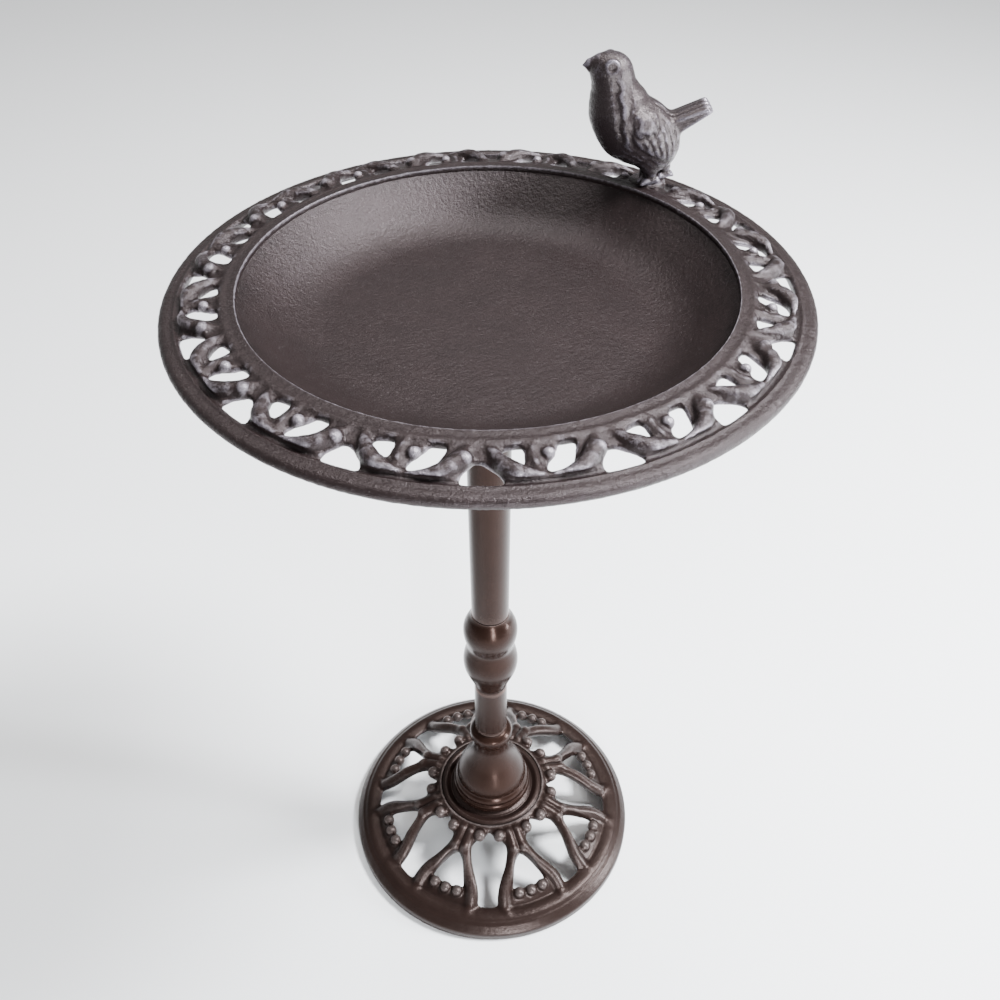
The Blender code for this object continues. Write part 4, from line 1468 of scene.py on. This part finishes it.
@dataclass
class Fasteners:
    """The tie rod with its nut and washer, and the bird's screw with its washer."""

    finishes: Finishes
    threads: ThreadPattern
    segments: int = 48
    rod: Thread = Thread(4.0 * MM, 1.25 * MM)
    rod_threaded: float = 15.0 * MM
    rod_point: float = 0.5 * MM
    screw: Thread = Thread(2.0 * MM, 0.7 * MM)
    screw_dome: float = 1.2 * MM
    recess: Place = (3.6 * MM, 0.8 * MM, 2.4 * MM)
    edge: float = 0.25 * MM
    nut_lead: float = 0.5 * MM

    def _washer(self, name: str, node: str, hole: float) -> None:
        """Make a flat washer with eased edges.

        Args:
            name: The piece's name.
            node: The frame's node, which gives its place and outer size.
            hole: Radius of its hole.
        """
        low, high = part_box(node)
        outline = disc(hole, (high.x - low.x) / 2, high.z, low.z, self.edge)
        washer = turned(name, outline, self.segments, middle_of(node))
        self.finishes.complete(washer, Slot.ZINC, node, sharp=35)

    def _cut_thread(self, piece: bpy.types.Object, thread: Thread, foot: float, length: float,
                    centre: Plan) -> None:
        """Put a thread's crests on a piece's core.

        Args:
            piece: The piece.
            thread: The thread.
            foot: Level one pitch below the lowest crest.
            length: How much of the piece is threaded.
            centre: Where the axis stands in plan.
        """
        core, pitch, low = thread.core, thread.pitch, foot + thread.pitch
        half = 0.42 * pitch
        outline = [(core, low + half), (thread.radius, low + 0.1 * pitch), (thread.radius, low - 0.1 * pitch),
                   (core, low - half), (core - 0.3 * pitch, low)]
        crests = turned("thread", outline, self.segments, centre)
        self.threads.apply(crests, {"Count": int(length / pitch), "Pitch": pitch,
                                    "Finish": self.finishes.by_slot[Slot.ZINC]})
        bm = bmesh.new()
        bm.from_mesh(piece.data)
        bm.from_mesh(crests.data)
        bm.to_mesh(piece.data)
        bm.free()
        bpy.data.objects.remove(crests, do_unlink=True)

    def tie_rod(self) -> None:
        """Make the rod, threaded at its lower end."""
        low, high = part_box("tie_rod")
        radius, core, point, threaded = self.rod.radius, self.rod.core, self.rod_point, self.rod_threaded
        outline = [(0.0, high.z), (radius - point, high.z), (radius, high.z - point),
                   (radius, low.z + threaded), (core, low.z + threaded - point),
                   (core, low.z + point), (core - point, low.z), (0.0, low.z)]
        whole = turned("tie_rod_steel", outline, self.segments)
        self._cut_thread(whole, self.rod, low.z, threaded - 2 * point, (0.0, 0.0))
        self.finishes.complete(whole, Slot.ZINC, "tie_rod", sharp=35)

    def bird_screw(self) -> None:
        """Make the pan-head screw with its cross recess."""
        low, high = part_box("bird_screw")
        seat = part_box("bird_washer")[0].z - 0.3 * MM
        head, core, rise = (high.x - low.x) / 2, self.screw.core, self.screw_dome
        centre = middle_of("bird_screw")
        dome = [(head * math.cos(a), low.z + rise - rise * math.sin(a))
                for a in (math.pi / 2 * i / 8 for i in range(8))]
        outline = [(0.0, high.z), (core - 0.3 * MM, high.z), (core, high.z - 0.4 * MM),
                   (core, seat - 0.2 * MM), (head, seat), *dome, (0.0, low.z)]
        whole = turned("bird_screw_steel", outline, self.segments, centre)
        for quarters in (0, 1):
            bm = bmesh.new()
            place = (Matrix.Translation((*centre, low.z)) @ Matrix.Rotation(math.pi / 2 * quarters, 4, "Z")
                     @ Matrix.Diagonal((*self.recess, 1.0)))
            bmesh.ops.create_cube(bm, size=1.0, matrix=place)
            combine(whole, from_bmesh("recess", bm), "DIFFERENCE")
        self._cut_thread(whole, self.screw, seat, high.z - seat - 1.0 * MM, centre)
        self.finishes.complete(whole, Slot.ZINC, "bird_screw", sharp=35)

    def nut(self) -> None:
        """Make the hexagon nut, with its corners turned down at both faces."""
        low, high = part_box("base_nut")
        corner = (high.y - low.y) / 2
        flats = corner * math.cos(math.pi / 6)
        hole, lead = self.rod.radius + 0.3 * MM, self.nut_lead
        collar = [(0.0, high.z), (flats * 0.97, high.z), (corner * 1.02, high.z - lead * 1.2),
                  (corner * 1.02, low.z + lead * 1.2), (flats * 0.97, low.z), (0.0, low.z)]
        nut = turned("base_nut_steel", collar, 96)
        bm = bmesh.new()
        bmesh.ops.create_cone(bm, cap_ends=True, segments=6, radius1=corner, radius2=corner,
                              depth=high.z - low.z + 2.0 * MM,
                              matrix=Matrix.Translation((0.0, 0.0, (low.z + high.z) / 2)))
        combine(nut, from_bmesh("hexagon", bm), "INTERSECT")
        bore = [(0.0, high.z + lead), (hole + lead, high.z + lead), (hole + lead, high.z),
                (hole, high.z - lead), (hole, low.z + lead), (hole + lead, low.z),
                (hole + lead, low.z - lead), (0.0, low.z - lead)]
        combine(nut, turned("bore", bore, self.segments), "DIFFERENCE")
        self.finishes.complete(nut, Slot.ZINC, "base_nut", sharp=35)

    def build(self) -> None:
        """Make the five fasteners."""
        self.tie_rod()
        self.nut()
        self._washer("base_washer_steel", "base_washer", 4.5 * MM)
        self._washer("bird_washer_steel", "bird_washer", 2.4 * MM)
        self.bird_screw()


# --- Studio ---------------------------------------------------------------------------------------
@dataclass(frozen=True)
class SoftLight:
    """A rectangular soft light that points at the bird bath."""

    name: str
    place: Place
    size: Plan
    power: float
    aim: Place = (0.0, 0.0, 0.25)
    colour: Colour = (1.0, 1.0, 1.0)

    def hang(self) -> None:
        """Add the light to the scene."""
        data = bpy.data.lights.new(self.name, "AREA")
        data.shape = "RECTANGLE"
        data.size, data.size_y = self.size
        data.energy = self.power
        data.color = self.colour
        light = bpy.data.objects.new(self.name, data)
        light.location = self.place
        light.rotation_euler = (Vector(self.aim) - Vector(self.place)).to_track_quat("-Z", "Y").to_euler()
        bpy.context.scene.collection.objects.link(light)


@dataclass
class Studio:
    """A pale floor, soft lights and the camera."""

    lens: float = 37.764
    sensor: float = 36.0
    camera_place: Place = (0.0, -0.384885, 0.631935)
    camera_pitch: float = 0.736
    camera_roll: float = -0.008
    camera_shift: float = 0.01075
    floor_reach: float = 6.0
    floor_colour: Colour = (0.94, 0.94, 0.94)
    sky: float = 0.45
    lights: tuple[SoftLight, ...] = (
        SoftLight("window_high", (0.80, 0.05, 1.32), (0.34, 0.34), 72.0, colour=(0.93, 0.96, 1.0)),
        SoftLight("window_side", (1.30, -0.20, 0.42), (0.14, 0.55), 44.0, colour=(0.90, 0.95, 1.0)),
        SoftLight("window_front", (0.28, -1.30, 0.34), (0.12, 0.45), 34.0, colour=(0.90, 0.95, 1.0)),
        SoftLight("skylight", (0.1, 0.5, 1.9), (0.9, 0.7), 30.0),
    )

    def floor(self) -> None:
        """Lay the floor."""
        reach = self.floor_reach
        corners = [(-reach, -reach, 0.0), (reach, -reach, 0.0), (reach, reach, 0.0), (-reach, reach, 0.0)]
        floor = plain_object("studio_floor", corners, [(0, 1, 2, 3)])
        paper, build, shader = blank_material("studio_paper")
        build.fill(shader["Base Color"], self.floor_colour)
        build.fill(shader["Roughness"], 0.9)
        floor.data.materials.append(paper)

    def camera(self) -> None:
        """Set up the camera."""
        data = bpy.data.cameras.new("camera")
        data.lens = self.lens
        data.sensor_width = self.sensor
        data.shift_x = self.camera_shift
        camera = bpy.data.objects.new("camera", data)
        camera.location = self.camera_place
        tip = Matrix.Rotation(math.pi / 2 - self.camera_pitch, 4, "X")
        camera.rotation_euler = (tip @ Matrix.Rotation(self.camera_roll, 4, "Z")).to_euler()
        bpy.context.scene.collection.objects.link(camera)
        bpy.context.scene.camera = camera

    def build(self) -> None:
        """Set the whole studio up."""
        self.floor()
        self.camera()
        for light in self.lights:
            light.hang()
        world = bpy.data.worlds.new("studio")
        world.use_nodes = True
        sky = world.node_tree.nodes["Background"].inputs
        sky["Color"].default_value = (1.0, 1.0, 1.0, 1.0)
        sky["Strength"].default_value = self.sky
        bpy.context.scene.world = world


def main() -> None:
    """Set the studio up, then build the bird bath from the top down."""
    logging.basicConfig(level=logging.INFO, format="%(name)s: %(message)s")
    finishes = Finishes()
    pattern = RoundPattern()
    Studio().build()
    Bird(finishes).build()
    Dish(finishes, pattern).build()
    Stem(finishes).build()
    Base(finishes, pattern).build()
    Fasteners(finishes, ThreadPattern()).build()


if __name__ == "__main__":
    main()
